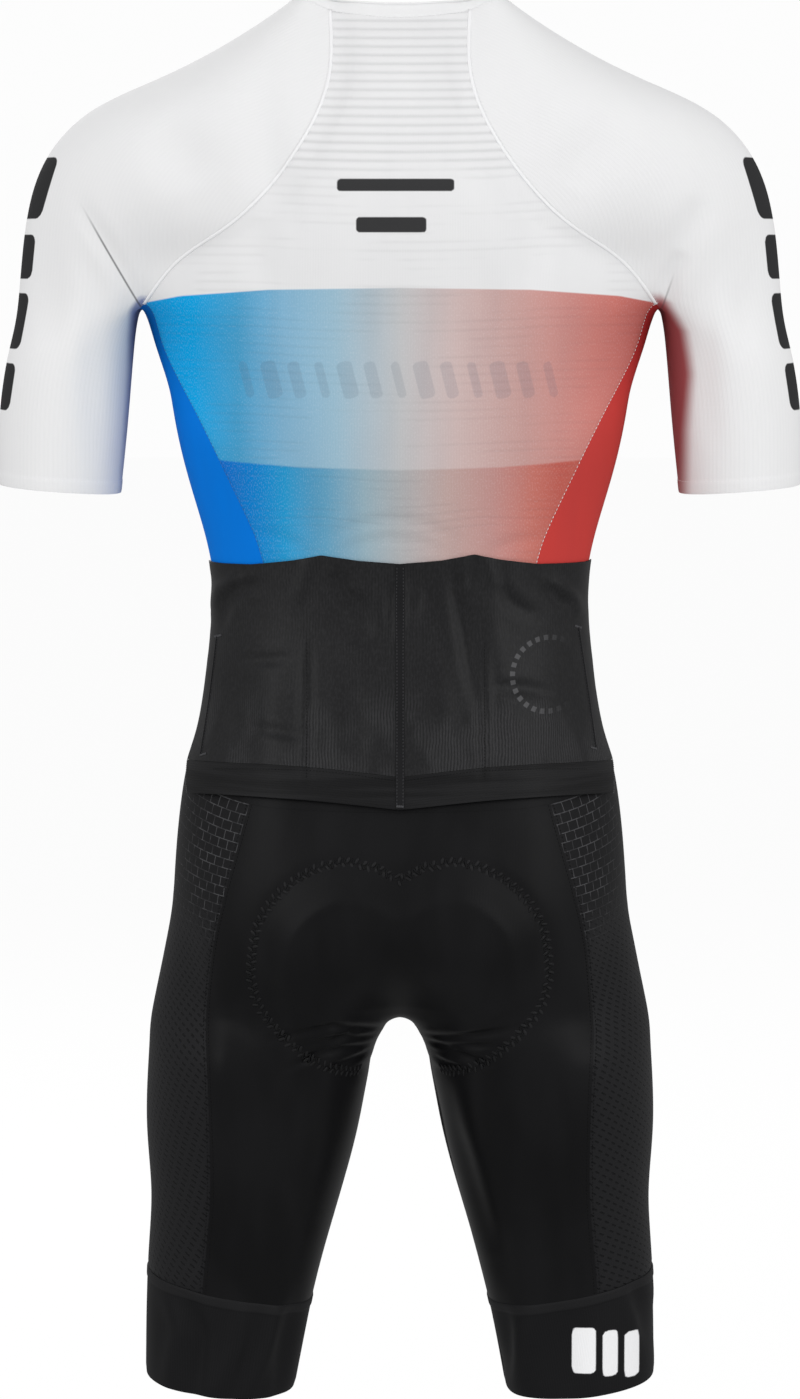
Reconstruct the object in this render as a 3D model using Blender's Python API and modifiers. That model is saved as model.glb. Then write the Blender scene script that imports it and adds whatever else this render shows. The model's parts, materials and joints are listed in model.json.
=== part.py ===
"""Short-sleeved cycling skinsuit in the shape it has when worn, with nobody in it.

Metres, +Z up. The back faces +Y and the wearer's left is +X. The origin is the middle of the
neck opening, level with the top of the collar, where the wearer's neck and shoulders carry it.

One smooth skin is lofted from short tables of rings, the suit is cut from it along the seams,
and each piece is a wall whose outer face lies on that skin.
"""

import math
from collections import namedtuple

import bmesh
import bpy
from mathutils import Matrix
from mathutils import Vector
from mathutils.bvhtree import BVHTree

# Driving dimensions --------------------------------------------------------------------------

WALL = 0.0012                 # knitted cloth, as a wall
SEAM_GAP = 0.0003             # clearance between neighbouring pieces
SIDE_Y = -0.004               # where the body is widest, front to back
SKIN_LEVEL = 1                # rounds of subdivision on the cage of rings
FIT_ROUNDS = 4                # rounds that bring the smooth skin back onto the rings
LAYERED_BELOW_Z = -0.375      # below this height pieces lie over one another
RIM_ORDER = Vector((0.31, 0.47, 0.83))   # any slanting direction that no seam runs square to

RIB_PITCH = 0.0061            # ribs knitted across the middle of the back
RIB_COUNT = 17
RIB_TOP_Z = -0.018
RIB_RISE = 0.00035

TAIL_TOP_LIFT = 0.0004        # the tail is sewn down along its top edge...
TAIL_LIFT = 0.0022            # ...and stands a little off the suit below it
TAIL_WALL = 0.0011
TAIL_HEM_Z = -0.5600
TAIL_HEM_BAND = 0.0220        # height of the elastic hem
TAIL_HEM_RISE = 0.0070        # the hem swings up by this much between the middle and a corner...
TAIL_HEM_WAVE = 0.1550        # ...and is down again at this distance from the middle
TAIL_STRAIGHT_TURN = 48       # degrees from the back; past it the hem's ends are drawn back...
TAIL_BAND_TURN = 82
TAIL_CORNER_TURN = 76         # ...so that its corners stop short of the side
TAIL_STRIP_WIDTH = 0.0058
TAIL_STRIP_WALL = 0.0007

PAD_GAP = 0.0004              # between the shorts and the pad inside them
PAD_WALL = 0.0050
PAD_BLOCK_Y = (-0.060, 0.200)  # the pad's outline is cut between these
PAD_RISE = 0.0018             # how far the pad pushes the shorts out...
PAD_EDGE = 0.0140             # ...and over what distance inside its outline

ZIP_END_Z = -0.470            # the zip's lower end, on the belly
ZIP_TAPE_WIDTH = 0.0150
ZIP_TAPE_WALL = 0.0005
ZIP_COIL_WIDTH = 0.0052
ZIP_COIL_WALL = 0.0013
SLIDER_DROP = 0.0080          # slider's middle below the top of the zip
SLIDER_CLEARANCE = 0.0006     # slider above the coil
SLIDER_SIZE = (0.0078, 0.0110, 0.0030)
BRIDGE_WIDTH = 0.0024         # the arch on the slider that the pull hangs from
BRIDGE_LENGTH = 0.0066
BRIDGE_RISE = 0.0030
TUNNEL_LENGTH = 0.0032
TUNNEL_LIFT = 0.0003
TUNNEL_RISE = 0.0017
PULL_WIDTH = 0.0062
PULL_LENGTH = 0.0280
PULL_THICK = 0.0010
EYE_WIDTH = 0.0038
EYE_LENGTH = 0.0035

# The rings, a row for each, from the collar down. Only the wearer's left half is written: the
# other is its mirror image. The seam columns carry the seams, so they are where the cloth is cut.

Yoke = namedtuple("Yoke", "back_y back_z seam_x seam_y seam_z top_x top_y top_z "
                          "fseam_x fseam_y fseam_z front_y front_z square wrap")
YOKE = [
    Yoke(.0465, -.0035, .0475, .0365, -.0010, .0700, -.001, -.0008,
         .0445, -.0520, -.0330, -.0600, -.0490, 2.0, 0),            # top edge of the collar
    Yoke(.0505, -.0125, .0490, .0400, -.0068, .0798, -.001, -.0068,
         .0490, -.0605, -.0440, -.0705, -.0630, 2.0, 0),            # collar seam
    Yoke(.0795, -.0455, .0476, .0705, -.0492, .1262, -.001, -.0322,
         .0600, -.0870, -.0710, -.0905, -.0875, 2.0, 0),
    Yoke(.0955, -.0785, .0616, .0895, -.0900, .1728, -.003, -.0546,
         .0800, -.1015, -.1010, -.1055, -.1125, 2.0, 0),
    Yoke(.1040, -.1115, .0857, .0935, -.1258, .2206, -.004, -.0776,
         .1045, -.1075, -.1325, -.1165, -.1375, 2.3, 0),
    Yoke(.1078, -.1445, .1167, .0865, -.1564, .2530, -.005, -.1150,
         .1300, -.1030, -.1620, -.1225, -.1625, 2.7, 0),
    Yoke(.1068, -.1775, .1532, .0650, -.1800, .2658, -.006, -.1640,
         .1545, -.0820, -.1870, -.1245, -.1875, 3.1, 8),
    Yoke(.1030, -.2105, .1785, .0440, -.2110, .2712, -.007, -.2150,
         .1765, -.0540, -.2105, -.1245, -.2125, 3.3, 32),           # armpit
]
UNDERARM_X = .1830
UNDERARM_Z = -.2130

Sleeve = namedtuple("Sleeve", "outer_z inner_z outer_x inner_x back front")
SLEEVE = [
    Sleeve(-.2480, -.2440, .2780, .1885, .0525, -.0615),
    Sleeve(-.2920, -.2930, .2845, .1932, .0530, -.0610),
    Sleeve(-.3385, -.3450, .2848, .1987, .0525, -.0590),            # hem
]
SLEEVE_SEAM_TURN = 126        # degrees from the outside of the arm to the seam column
SLEEVE_SQUARE = 2.15

Body = namedtuple("Body", "back_z side_z front_z half_width back front seam_x fseam_x "
                          "square tuck ftuck")
BODY = [
    Body(-.2430, -.2420, -.2440, .1690, .0995, -.1225, .1675, .1650, 2.6, 0, 0),
    Body(-.2900, -.2900, -.2910, .1603, .0935, -.1170, .1405, .1435, 2.5, 0, 0),
    Body(-.3400, -.3400, -.3400, .1483, .0842, -.1130, .1165, .1250, 2.3, 0, 0),
    Body(-.3900, -.3910, -.3890, .1346, .0760, -.1110, .0957, .1130, 2.3, 0, 0),   # tail top
    Body(-.4480, -.4450, -.4350, .1314, .0745, -.1105, .0925, .1080, 2.3, 0, 0),
    Body(-.5130, -.5050, -.4800, .1390, .0880, -.1130, .0970, .1095, 2.4, 0, 0),
    Body(-.5610, -.5344, -.4920, .1494, .1035, -.1140, .1050, .1150, 2.5, 0, 0),   # waist seam
    Body(-.6120, -.5920, -.5600, .1578, .1165, -.1125, .1190, .1240, 2.5, 0, 0),
    Body(-.6620, -.6500, -.6320, .1631, .1165, -.1070, .1312, .1310, 2.5, .007, .004),
    Body(-.7080, -.7135, -.7110, .1757, .1010, -.0990, .1363, .1370, 2.5, .048, .047),  # crotch
]
TUCK_WIDTH = .034             # half-width of the dip along the middle near the crotch
CROTCH_Z = (-.7130, -.7135)   # between the two ends of the crotch seam, front to back

Leg = namedtuple("Leg", "outer_z inner_z outer_x inner_x back front seam_x fseam_x")
LEG = [
    Leg(-.7430, -.7400, .1798, .0172, .0925, -.0940, .1350, .1380),
    Leg(-.7970, -.8020, .1822, .0300, .0820, -.0905, .1335, .1390),
    Leg(-.8500, -.8630, .1790, .0465, .0705, -.0845, .1350, .1410),
    Leg(-.9045, -.9265, .1821, .0635, .0610, -.0775, .1403, .1440),                # cuff seam
    Leg(-.9825, -.9925, .1838, .0765, .0605, -.0740, .1420, .1460),                # hem
]
LEG_BACK_TURN = 142           # degrees from the outside of the leg to the crotch columns
LEG_SQUARE = 2.3

# Columns between the seams, and the row numbers that the pieces are cut at.
BACK_COLS = 3
ARM_COLS = 6
UNDER_COLS = 3
FRONT_COLS = 3
ARMPIT_ROW = len(YOKE) - 1
TAIL_ROW = ARMPIT_ROW + 4
WAIST_ROW = ARMPIT_ROW + 7
BAND_ROW = WAIST_ROW - 0.5
CROTCH_ROW = ARMPIT_ROW + len(BODY)
CUFF_ROW = CROTCH_ROW + 4
ZONES = ["back", "arm", "front", "side", "under", "inner"]

# Half of the pad's outline as it shows from behind, from the middle of its top edge down.
Outline = namedtuple("Outline", "x z")
PAD_OUTLINE = [
    Outline(.000, -.6060), Outline(.018, -.6000), Outline(.044, -.5970), Outline(.072, -.6130),
    Outline(.092, -.6370), Outline(.100, -.6650), Outline(.100, -.6900), Outline(.086, -.7130),
    Outline(.058, -.7400), Outline(.026, -.7530), Outline(.000, -.7530),
]

COLOURS = {
    "white": (0.80, 0.80, 0.81, 1),
    "blue": (0.005, 0.25, 0.60, 1),
    "red": (0.55, 0.07, 0.06, 1),
    "black": (0.012, 0.012, 0.014, 1),
    "charcoal": (0.022, 0.022, 0.025, 1),
    "pad": (0.030, 0.050, 0.110, 1),
    "tape": (0.60, 0.60, 0.61, 1),
    "coil": (0.55, 0.55, 0.56, 1),
    "metal": (0.10, 0.10, 0.11, 1),
}


# Scene and small helpers ---------------------------------------------------------------------

def clear_scene():
    for thing in list(bpy.data.objects):
        bpy.data.objects.remove(thing, do_unlink=True)


def new_collection(name):
    collection = bpy.data.collections.new(name)
    bpy.context.scene.collection.children.link(collection)
    return collection


def material(colour, roughness=0.75, metallic=0.0):
    name = "cloth_" + colour
    found = bpy.data.materials.get(name)
    if found:
        return found
    made = bpy.data.materials.new(name)
    made.use_nodes = True
    shader = made.node_tree.nodes["Principled BSDF"]
    shader.inputs["Base Color"].default_value = COLOURS[colour]
    shader.inputs["Roughness"].default_value = roughness
    shader.inputs["Metallic"].default_value = metallic
    return made


def keep_object(name, mesh, colour, **finish):
    thing = bpy.data.objects.new(name, mesh)
    mesh.materials.clear()
    mesh.materials.append(material(colour, **finish))
    SUIT.objects.link(thing)
    return thing


def guide(name, shape):
    """Keep a bmesh as a hidden object that later steps cut, join or cut with."""
    mesh = bpy.data.meshes.new(name)
    shape.to_mesh(mesh)
    shape.free()
    thing = bpy.data.objects.new(name, mesh)
    thing.hide_render = True
    thing.display_type = "WIRE"
    GUIDES.objects.link(thing)
    return thing


def lerp(start, end, share):
    return start + (end - start) * share


def signed_power(value, power):
    return math.copysign(abs(value) ** power, value)


# Rings ---------------------------------------------------------------------------------------

def yoke_ring(row):
    """Half a ring that goes round the shoulders: back, over the arm, front."""
    ring = []
    for step in range(BACK_COLS):
        share = step / BACK_COLS
        bend = share ** row.square
        ring.append(Vector((row.seam_x * share, lerp(row.back_y, row.seam_y, bend),
                            lerp(row.back_z, row.seam_z, bend))))
    seam = Vector((row.seam_x, row.seam_y, row.seam_z))
    fseam = Vector((row.fseam_x, row.fseam_y, row.fseam_z))
    top = Vector((row.top_x, row.top_y, row.top_z))
    # An arc of an ellipse; where it wraps past a half turn it is an arm's own round section.
    wrap = math.radians(row.wrap)
    chord = (seam + fseam) / 2
    reach = (top - chord) / (1 + math.sin(wrap))
    centre = chord + reach * math.sin(wrap)
    half = (seam - fseam) / (2 * math.cos(wrap))
    for step in range(ARM_COLS + 1):
        turn = lerp(-wrap, math.pi + wrap, step / ARM_COLS)
        ring.append(centre + half * math.cos(turn) + reach * math.sin(turn))
    for step in range(1, FRONT_COLS + 1):
        share = 1 - step / FRONT_COLS
        bend = share ** row.square
        ring.append(Vector((row.fseam_x * share, lerp(row.front_y, row.fseam_y, bend),
                            lerp(row.front_z, row.fseam_z, bend))))
    return ring


def section(row):
    """A closed body section's left half as close-set points from the back to the front."""
    points = []
    for step in range(721):
        turn = math.pi * step / 720
        x = row.half_width * abs(math.sin(turn)) ** (2 / row.square)
        depth = row.back - SIDE_Y if math.cos(turn) > 0 else SIDE_Y - row.front
        y = SIDE_Y + depth * signed_power(math.cos(turn), 2 / row.square)
        points.append(Vector((x, y, 0)))
    return points


def body_ring(row):
    """Half a ring round the trunk: back, side, front, with its height set along the way."""
    points = section(row)
    along = [0.0]
    for first, second in zip(points, points[1:]):
        along.append(along[-1] + (second - first).length)
    middle = len(points) // 2

    def place(length):
        index = next(i for i in range(1, len(along)) if along[i] >= length - 1e-9)
        share = (length - along[index - 1]) / (along[index] - along[index - 1])
        return points[index - 1].lerp(points[index], share)

    def length_at(x, indices):
        return along[min(indices, key=lambda i: abs(points[i].x - x))]

    back_seam = length_at(row.seam_x, range(middle))
    front_seam = length_at(row.fseam_x, range(middle, len(points)))
    lengths = [length_at(row.seam_x * c / BACK_COLS, range(middle)) for c in range(BACK_COLS)]
    lengths += [lerp(back_seam, front_seam, c / UNDER_COLS) for c in range(UNDER_COLS)]
    lengths += [length_at(row.fseam_x * (1 - c / FRONT_COLS), range(middle, len(points)))
                for c in range(FRONT_COLS + 1)]
    ring = []
    for length in lengths:
        spot = place(length)
        if length <= along[middle]:
            spot.z = lerp(row.back_z, row.side_z, (length / along[middle]) ** 3)
            spot.y -= row.tuck * math.exp(-(spot.x / TUCK_WIDTH) ** 2)
        else:
            share = (length - along[middle]) / (along[-1] - along[middle])
            spot.z = lerp(row.side_z, row.front_z, share)
            spot.y += row.ftuck * math.exp(-(spot.x / TUCK_WIDTH) ** 2)
        ring.append(spot)
    return ring


def tube_spot(row, turn, square):
    """A point of a sleeve or leg ring, with turn in degrees from the outside over the back."""
    centre = (row.outer_x + row.inner_x) / 2
    half = (row.outer_x - row.inner_x) / 2
    across = signed_power(math.cos(math.radians(turn)), 2 / square)
    deep = signed_power(math.sin(math.radians(turn)), 2 / square)
    depth = row.back - SIDE_Y if deep > 0 else SIDE_Y - row.front
    return Vector((centre + half * across, SIDE_Y + depth * deep,
                   lerp(row.inner_z, row.outer_z, (1 + across) / 2)))


def sleeve_ring(row):
    """A whole sleeve ring from the back seam column round the arm and back underneath."""
    turns = [lerp(SLEEVE_SEAM_TURN, -SLEEVE_SEAM_TURN, c / ARM_COLS) for c in range(ARM_COLS)]
    turns += [lerp(-SLEEVE_SEAM_TURN, SLEEVE_SEAM_TURN - 360, c / UNDER_COLS)
              for c in range(UNDER_COLS)]
    return [tube_spot(row, turn, SLEEVE_SQUARE) for turn in turns]


def seam_turn(row, x):
    centre = (row.outer_x + row.inner_x) / 2
    half = (row.outer_x - row.inner_x) / 2
    return math.degrees(math.acos(((x - centre) / half) ** (LEG_SQUARE / 2)))


def leg_ring(row):
    """A whole leg ring: back, outside and front as on the body, then the inside of the leg."""
    back_seam = seam_turn(row, row.seam_x)
    front_seam = -seam_turn(row, row.fseam_x)
    marks = [(LEG_BACK_TURN, back_seam, BACK_COLS), (back_seam, front_seam, UNDER_COLS),
             (front_seam, -LEG_BACK_TURN, FRONT_COLS),
             (-LEG_BACK_TURN, LEG_BACK_TURN - 360, UNDER_COLS)]
    turns = [lerp(start, end, c / count) for start, end, count in marks for c in range(count)]
    return [tube_spot(row, turn, LEG_SQUARE) for turn in turns]


# Cage and skin -------------------------------------------------------------------------------

def zone_of_columns(counts):
    """For each column of a ring: its zone and the column's number within that zone."""
    return [(zone, number) for zone, count in counts for number in range(count)]


def build_cage():
    """The left half of the suit as one coarse cage, its faces marked by zone, column and row."""
    cage = bmesh.new()
    cut = cage.loops.layers.uv.new("cut")

    def add(points):
        return [cage.verts.new(point) for point in points]

    def join(upper, lower, row, columns, closed=False):
        count = len(upper) if closed else len(upper) - 1
        for c in range(count):
            after = (c + 1) % len(upper)
            face = cage.faces.new((upper[c], upper[after], lower[after], lower[c]))
            zone, number = columns[c]
            face.material_index = ZONES.index(zone)
            corners = [(number, row), (number + 1, row), (number + 1, row + 1), (number, row + 1)]
            for loop, corner in zip(face.loops, corners):
                loop[cut].uv = corner

    yoke_columns = zone_of_columns([("back", BACK_COLS), ("arm", ARM_COLS), ("front", FRONT_COLS)])
    body_columns = zone_of_columns([("back", BACK_COLS), ("side", UNDER_COLS),
                                    ("front", FRONT_COLS)])
    sleeve_columns = zone_of_columns([("arm", ARM_COLS), ("under", UNDER_COLS)])
    leg_columns = body_columns + zone_of_columns([("inner", UNDER_COLS)])

    rings = [add(yoke_ring(row)) for row in YOKE]
    for row, (upper, lower) in enumerate(zip(rings, rings[1:])):
        join(upper, lower, row, yoke_columns)

    armpit = rings[-1]
    back_end = BACK_COLS
    front_end = BACK_COLS + ARM_COLS
    underarm = []
    for step in range(1, UNDER_COLS):
        share = step / UNDER_COLS
        spot = armpit[back_end].co.lerp(armpit[front_end].co, share)
        bulge = math.sin(math.pi * share)
        spot.x = lerp(spot.x, UNDERARM_X, bulge)
        spot.z = lerp(spot.z, UNDERARM_Z, bulge)
        underarm.append(cage.verts.new(spot))

    upper = armpit[back_end:front_end + 1] + underarm[::-1]
    for row, sleeve in enumerate(SLEEVE):
        lower = add(sleeve_ring(sleeve))
        join(upper, lower, ARMPIT_ROW + row, sleeve_columns, closed=True)
        upper = lower

    upper = armpit[:back_end + 1] + underarm + armpit[front_end:]
    for row, body in enumerate(BODY):
        lower = add(body_ring(body))
        join(upper, lower, ARMPIT_ROW + row, body_columns)
        upper = lower

    share = [step / UNDER_COLS for step in range(1, UNDER_COLS)]
    crotch = [Vector((0, lerp(upper[-1].co.y, upper[0].co.y, s), z))
              for s, z in zip(share, CROTCH_Z)]
    upper = upper + add(crotch)
    for vert in upper:
        if abs(vert.co.x) < 1e-6:
            vert.co.x = 0
    for row, leg in enumerate(LEG):
        lower = add(leg_ring(leg))
        join(upper, lower, CROTCH_ROW + row, leg_columns, closed=True)
        upper = lower
    return cage


def evaluated(thing):
    bpy.context.view_layer.update()
    graph = bpy.context.evaluated_depsgraph_get()
    return bpy.data.meshes.new_from_object(thing.evaluated_get(graph), depsgraph=graph)


def pad_share(spot):
    """1 well inside the pad's outline on the seat, 0 outside it, and a soft step between."""
    x = abs(spot.x)
    inside = False
    nearest = math.inf
    for first, second in zip(PAD_OUTLINE, PAD_OUTLINE[1:]):
        if (first.x > x) != (second.x > x):
            edge_z = lerp(first.z, second.z, (x - first.x) / (second.x - first.x))
            if spot.z < edge_z:
                inside = not inside
        start = Vector((first.x, first.z))
        along = Vector((second.x, second.z)) - start
        reach = Vector((x, spot.z)) - start
        share = min(1, max(0, reach.dot(along) / along.dot(along)))
        nearest = min(nearest, (reach - along * share).length)
    if not inside or spot.y < 0:
        return 0.0
    step = min(1, nearest / PAD_EDGE)
    return step * step * (3 - 2 * step)


def build_skin():
    """The cage, mirrored and smoothed, with the smooth skin passing through the rings."""
    thing = guide("cage", build_cage())
    mesh = thing.data
    for zone in ZONES:
        mesh.materials.append(bpy.data.materials.new("zone_" + zone))
    mirror = thing.modifiers.new("other_half", "MIRROR")
    mirror.merge_threshold = 0.0001
    smooth = thing.modifiers.new("smooth", "SUBSURF")
    smooth.levels = SKIN_LEVEL
    smooth.render_levels = SKIN_LEVEL
    smooth.use_limit_surface = True
    smooth.uv_smooth = "NONE"
    target = [vert.co.copy() for vert in mesh.vertices]
    for _ in range(FIT_ROUNDS):
        skin = evaluated(thing)
        for index, spot in enumerate(target):
            mesh.vertices[index].co += spot - skin.vertices[index].co
        bpy.data.meshes.remove(skin)
    skin = evaluated(thing)
    rises = [vert.normal * PAD_RISE * pad_share(vert.co) for vert in skin.vertices]
    for vert, rise in zip(skin.vertices, rises):
        vert.co += rise
    # Where pieces lie over one another, all of them are folded along the same diagonals.
    facets = bmesh.new()
    facets.from_mesh(skin)
    layered = [face for face in facets.faces if face.calc_center_median().z < LAYERED_BELOW_Z]
    bmesh.ops.triangulate(facets, faces=layered, quad_method="SHORT_EDGE")
    facets.to_mesh(skin)
    facets.free()
    return skin


# Pieces --------------------------------------------------------------------------------------

def cut_piece(keep, adjust=None, open_front=False):
    """The part of the skin that keep(zone, column, row, x) names, as an open surface.

    Each vertex remembers its row and the skin's own normal, so walls of neighbouring pieces are
    thickened along the same line at their seam. The cut edges are then drawn in by half a gap.
    """
    surface = bmesh.new()
    surface.from_mesh(SKIN)
    out = surface.verts.layers.float_vector.new("out")
    rows = surface.verts.layers.float.new("row")
    cut = surface.loops.layers.uv["cut"]
    unwanted = []
    for face in surface.faces:
        count = len(face.loops)
        column = sum(loop[cut].uv.x for loop in face.loops) / count
        row = sum(loop[cut].uv.y for loop in face.loops) / count
        if not keep(ZONES[face.material_index], column, row, face.calc_center_median().x):
            unwanted.append(face)
    for vert in surface.verts:
        vert[out] = vert.normal
        vert[rows] = vert.link_loops[0][cut].uv.y
    bmesh.ops.delete(surface, geom=unwanted, context="FACES")
    if open_front:
        middle = [edge for edge in surface.edges
                  if all(abs(vert.co.x) < 1e-6 and vert.co.y < 0 for vert in edge.verts)]
        bmesh.ops.split_edges(surface, edges=middle)
    if adjust:
        for vert in surface.verts:
            adjust(vert, vert[rows], out)
    draw_in(surface, SEAM_GAP / 2)
    return surface


def draw_in(surface, distance):
    """Move the cut edges into the piece, square to the plane that their rim will lie in."""
    out = surface.verts.layers.float_vector["out"]
    moves = {}
    for edge in surface.edges:
        if not edge.is_boundary:
            continue
        centre = edge.link_faces[0].calc_center_median()
        start, end = edge.verts
        for vert in edge.verts:
            inward = vert[out].cross(end.co - start.co).normalized()
            if inward.dot(centre - (start.co + end.co) / 2) < 0:
                inward = -inward
            moves.setdefault(vert, []).append(inward)
    for vert, sides in moves.items():
        reach = 1 + sides[0].dot(sides[-1])
        vert.co += sum(sides, Vector()) * distance / reach


def thicken(surface, outer, inner):
    """Close an open surface into a wall. outer and inner give each point's distance from the
    skin, so a raised pattern can stand on a plain inside."""
    out = surface.verts.layers.float_vector["out"]
    faces = list(surface.faces)
    rim = [edge.link_loops[0] for edge in surface.edges if edge.is_boundary]
    sides = [(loop.vert, loop.link_loop_next.vert) for loop in rim]
    distances = {vert: (outer(vert), inner(vert)) for vert in surface.verts}
    twin = {}
    for vert, (over, under) in distances.items():
        normal = vert[out].normalized()
        twin[vert] = surface.verts.new(vert.co + normal * under)
        vert.co += normal * over
    for face in faces:
        surface.faces.new([twin[vert] for vert in reversed(face.verts)])
    # Both pieces at a seam fold their rims along the same diagonal, so they stay clear.
    for first, second in sides:
        if first.co.dot(RIM_ORDER) < second.co.dot(RIM_ORDER):
            surface.faces.new((second, first, twin[second]))
            surface.faces.new((first, twin[first], twin[second]))
        else:
            surface.faces.new((second, first, twin[first]))
            surface.faces.new((second, twin[first], twin[second]))


def finish_piece(name, surface, colour, smooth_angle=40, **finish):
    mesh = bpy.data.meshes.new(name)
    surface.to_mesh(mesh)
    surface.free()
    mesh.shade_smooth()
    mesh.set_sharp_from_angle(angle=math.radians(smooth_angle))
    return keep_object(name, mesh, colour, **finish)


def wall(name, colour, keep, **options):
    surface = cut_piece(keep, **options)
    thicken(surface, lambda vert: 0.0, lambda vert: -WALL)
    return finish_piece(name, surface, colour)


def make_upper():
    """Collar, raglan sleeves, side panels and fronts."""
    wall("collar", "white", lambda zone, c, r, x: r < 1, open_front=True)
    for side, sign, colour in (("left", 1, "blue"), ("right", -1, "red")):
        wall("sleeve_" + side, "white", lambda zone, c, r, x: x * sign > 0
             and (zone == "arm" and r > 1 or zone == "under"))
        wall("side_panel_" + side, colour,
             lambda zone, c, r, x: x * sign > 0 and zone == "side" and r < BAND_ROW)
        wall("front_" + side, "white",
             lambda zone, c, r, x: x * sign > 0 and zone == "front" and 1 < r < WAIST_ROW)


def make_back_panel():
    """The ribbed middle of the back. Ribs are folds of its outer points over a plain inside."""
    surface = cut_piece(lambda zone, c, r, x: zone == "back" and 1 < r < BAND_ROW)
    levels = [RIB_TOP_Z - RIB_PITCH * step / 2 for step in range(2 * RIB_COUNT + 1)]
    for z in levels:
        geometry = list(surface.verts) + list(surface.edges) + list(surface.faces)
        bmesh.ops.bisect_plane(surface, geom=geometry, dist=1e-6, plane_co=(0, 0, z),
                               plane_no=(0, 0, 1))
    crests = levels[1::2]

    def rise(vert):
        on_crest = any(abs(vert.co.z - z) < 1e-5 for z in crests)
        return RIB_RISE if on_crest and not vert.is_boundary else 0.0

    thicken(surface, rise, lambda vert: -WALL)
    return finish_piece("back_panel", surface, "white")


def make_shorts():
    half = UNDER_COLS / 2
    for side, sign in (("left", 1), ("right", -1)):
        wall("shorts_back_" + side, "black", lambda zone, c, r, x: x * sign > 0
             and WAIST_ROW < r < CUFF_ROW and (zone == "back" or zone == "inner" and c > half))
        wall("shorts_front_" + side, "black", lambda zone, c, r, x: x * sign > 0
             and WAIST_ROW < r < CUFF_ROW and (zone == "front" or zone == "inner" and c < half))
        wall("shorts_side_" + side, "charcoal", lambda zone, c, r, x: x * sign > 0
             and WAIST_ROW < r < CUFF_ROW and zone == "side")
        wall("cuff_" + side, "charcoal", lambda zone, c, r, x: x * sign > 0 and r > CUFF_ROW)
    wall("waistband_back", "black",
         lambda zone, c, r, x: BAND_ROW < r < WAIST_ROW and zone in ("back", "side"))


# The tail: a pocket panel with its elastic hem, hung over the lower back ----------------------

def skin_around(z, turn):
    """Where a level line from the body's middle meets the skin, turn degrees from the back."""
    heading = Vector((math.sin(math.radians(turn)), math.cos(math.radians(turn)), 0))
    spot, normal, _, _ = SKIN_TREE.ray_cast(Vector((0, SIDE_Y, z)), heading)
    return spot, normal if normal.dot(heading) > 0 else -normal


def tail_hem_z(x):
    return TAIL_HEM_Z + TAIL_HEM_RISE * math.sin(math.pi * abs(x) / TAIL_HEM_WAVE)


def hang_tail(vert, row, out):
    """Bring the tail's two lowest rows of points to the hem band's edges."""
    at_hem = math.isclose(row, WAIST_ROW)
    if not at_hem and not math.isclose(row, BAND_ROW):
        return
    turn = math.degrees(math.atan2(vert.co.x, vert.co.y - SIDE_Y))
    if abs(turn) > TAIL_STRAIGHT_TURN:
        over = (abs(turn) - TAIL_STRAIGHT_TURN) / (90 - TAIL_STRAIGHT_TURN)
        corner = TAIL_CORNER_TURN if at_hem else TAIL_BAND_TURN
        turn = math.copysign(lerp(TAIL_STRAIGHT_TURN, corner, over), turn)
    z = tail_hem_z(vert.co.x) + (0 if at_hem else TAIL_HEM_BAND)
    spot, normal = skin_around(z, turn)
    vert.co = spot
    vert[out] = normal


def tail_lift(row):
    """How far the tail hangs off the skin: fully so from half-way down."""
    share = min(1, 2 * (row - TAIL_ROW) / (BAND_ROW - TAIL_ROW))
    return lerp(TAIL_TOP_LIFT, TAIL_LIFT, share)


def make_tail():
    for name, top, bottom in (("tail_panel", TAIL_ROW, BAND_ROW),
                              ("tail_hem", BAND_ROW, WAIST_ROW)):
        surface = cut_piece(lambda zone, c, r, x: top < r < bottom
                            and (zone == "back" or zone == "side" and c < UNDER_COLS / 2),
                            adjust=hang_tail)
        rows = surface.verts.layers.float["row"]
        thicken(surface, lambda vert: tail_lift(vert[rows]) + TAIL_WALL,
                lambda vert: tail_lift(vert[rows]))
        finish_piece(name, surface, "black")


# Narrow strips along the middle: the tail's tape and the zip ----------------------------------

def middle_line(back, top_row, bottom_row):
    """The skin's points, normals and rows down the middle of the back or front."""
    cut = SKIN.uv_layers["cut"].data
    rows = {}
    for loop in SKIN.loops:
        vert = SKIN.vertices[loop.vertex_index]
        row = cut[loop.index].uv.y
        if abs(vert.co.x) < 1e-6 and (vert.co.y > 0) == back and top_row <= row <= bottom_row:
            rows[round(row, 3)] = (vert.co.copy(), vert.normal.copy(), row)
    return [rows[row] for row in sorted(rows)]


def strip(name, colour, line, width, outer, inner, **finish):
    """A flat tape down a line of points, from inner to outer metres off the skin."""
    surface = bmesh.new()
    layers = []
    for spot, normal in line:
        corners = [(-1, outer), (1, outer), (1, inner), (-1, inner)]
        layers.append([surface.verts.new(spot + Vector((side * width / 2, 0, 0)) + normal * off)
                       for side, off in corners])
    for upper, lower in zip(layers, layers[1:]):
        for c in range(4):
            after = (c + 1) % 4
            surface.faces.new((upper[c], lower[c], lower[after], upper[after]))
    surface.faces.new(layers[0])
    surface.faces.new(layers[-1][::-1])
    bmesh.ops.recalc_face_normals(surface, faces=surface.faces)
    return finish_piece(name, surface, colour, **finish)


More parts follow.
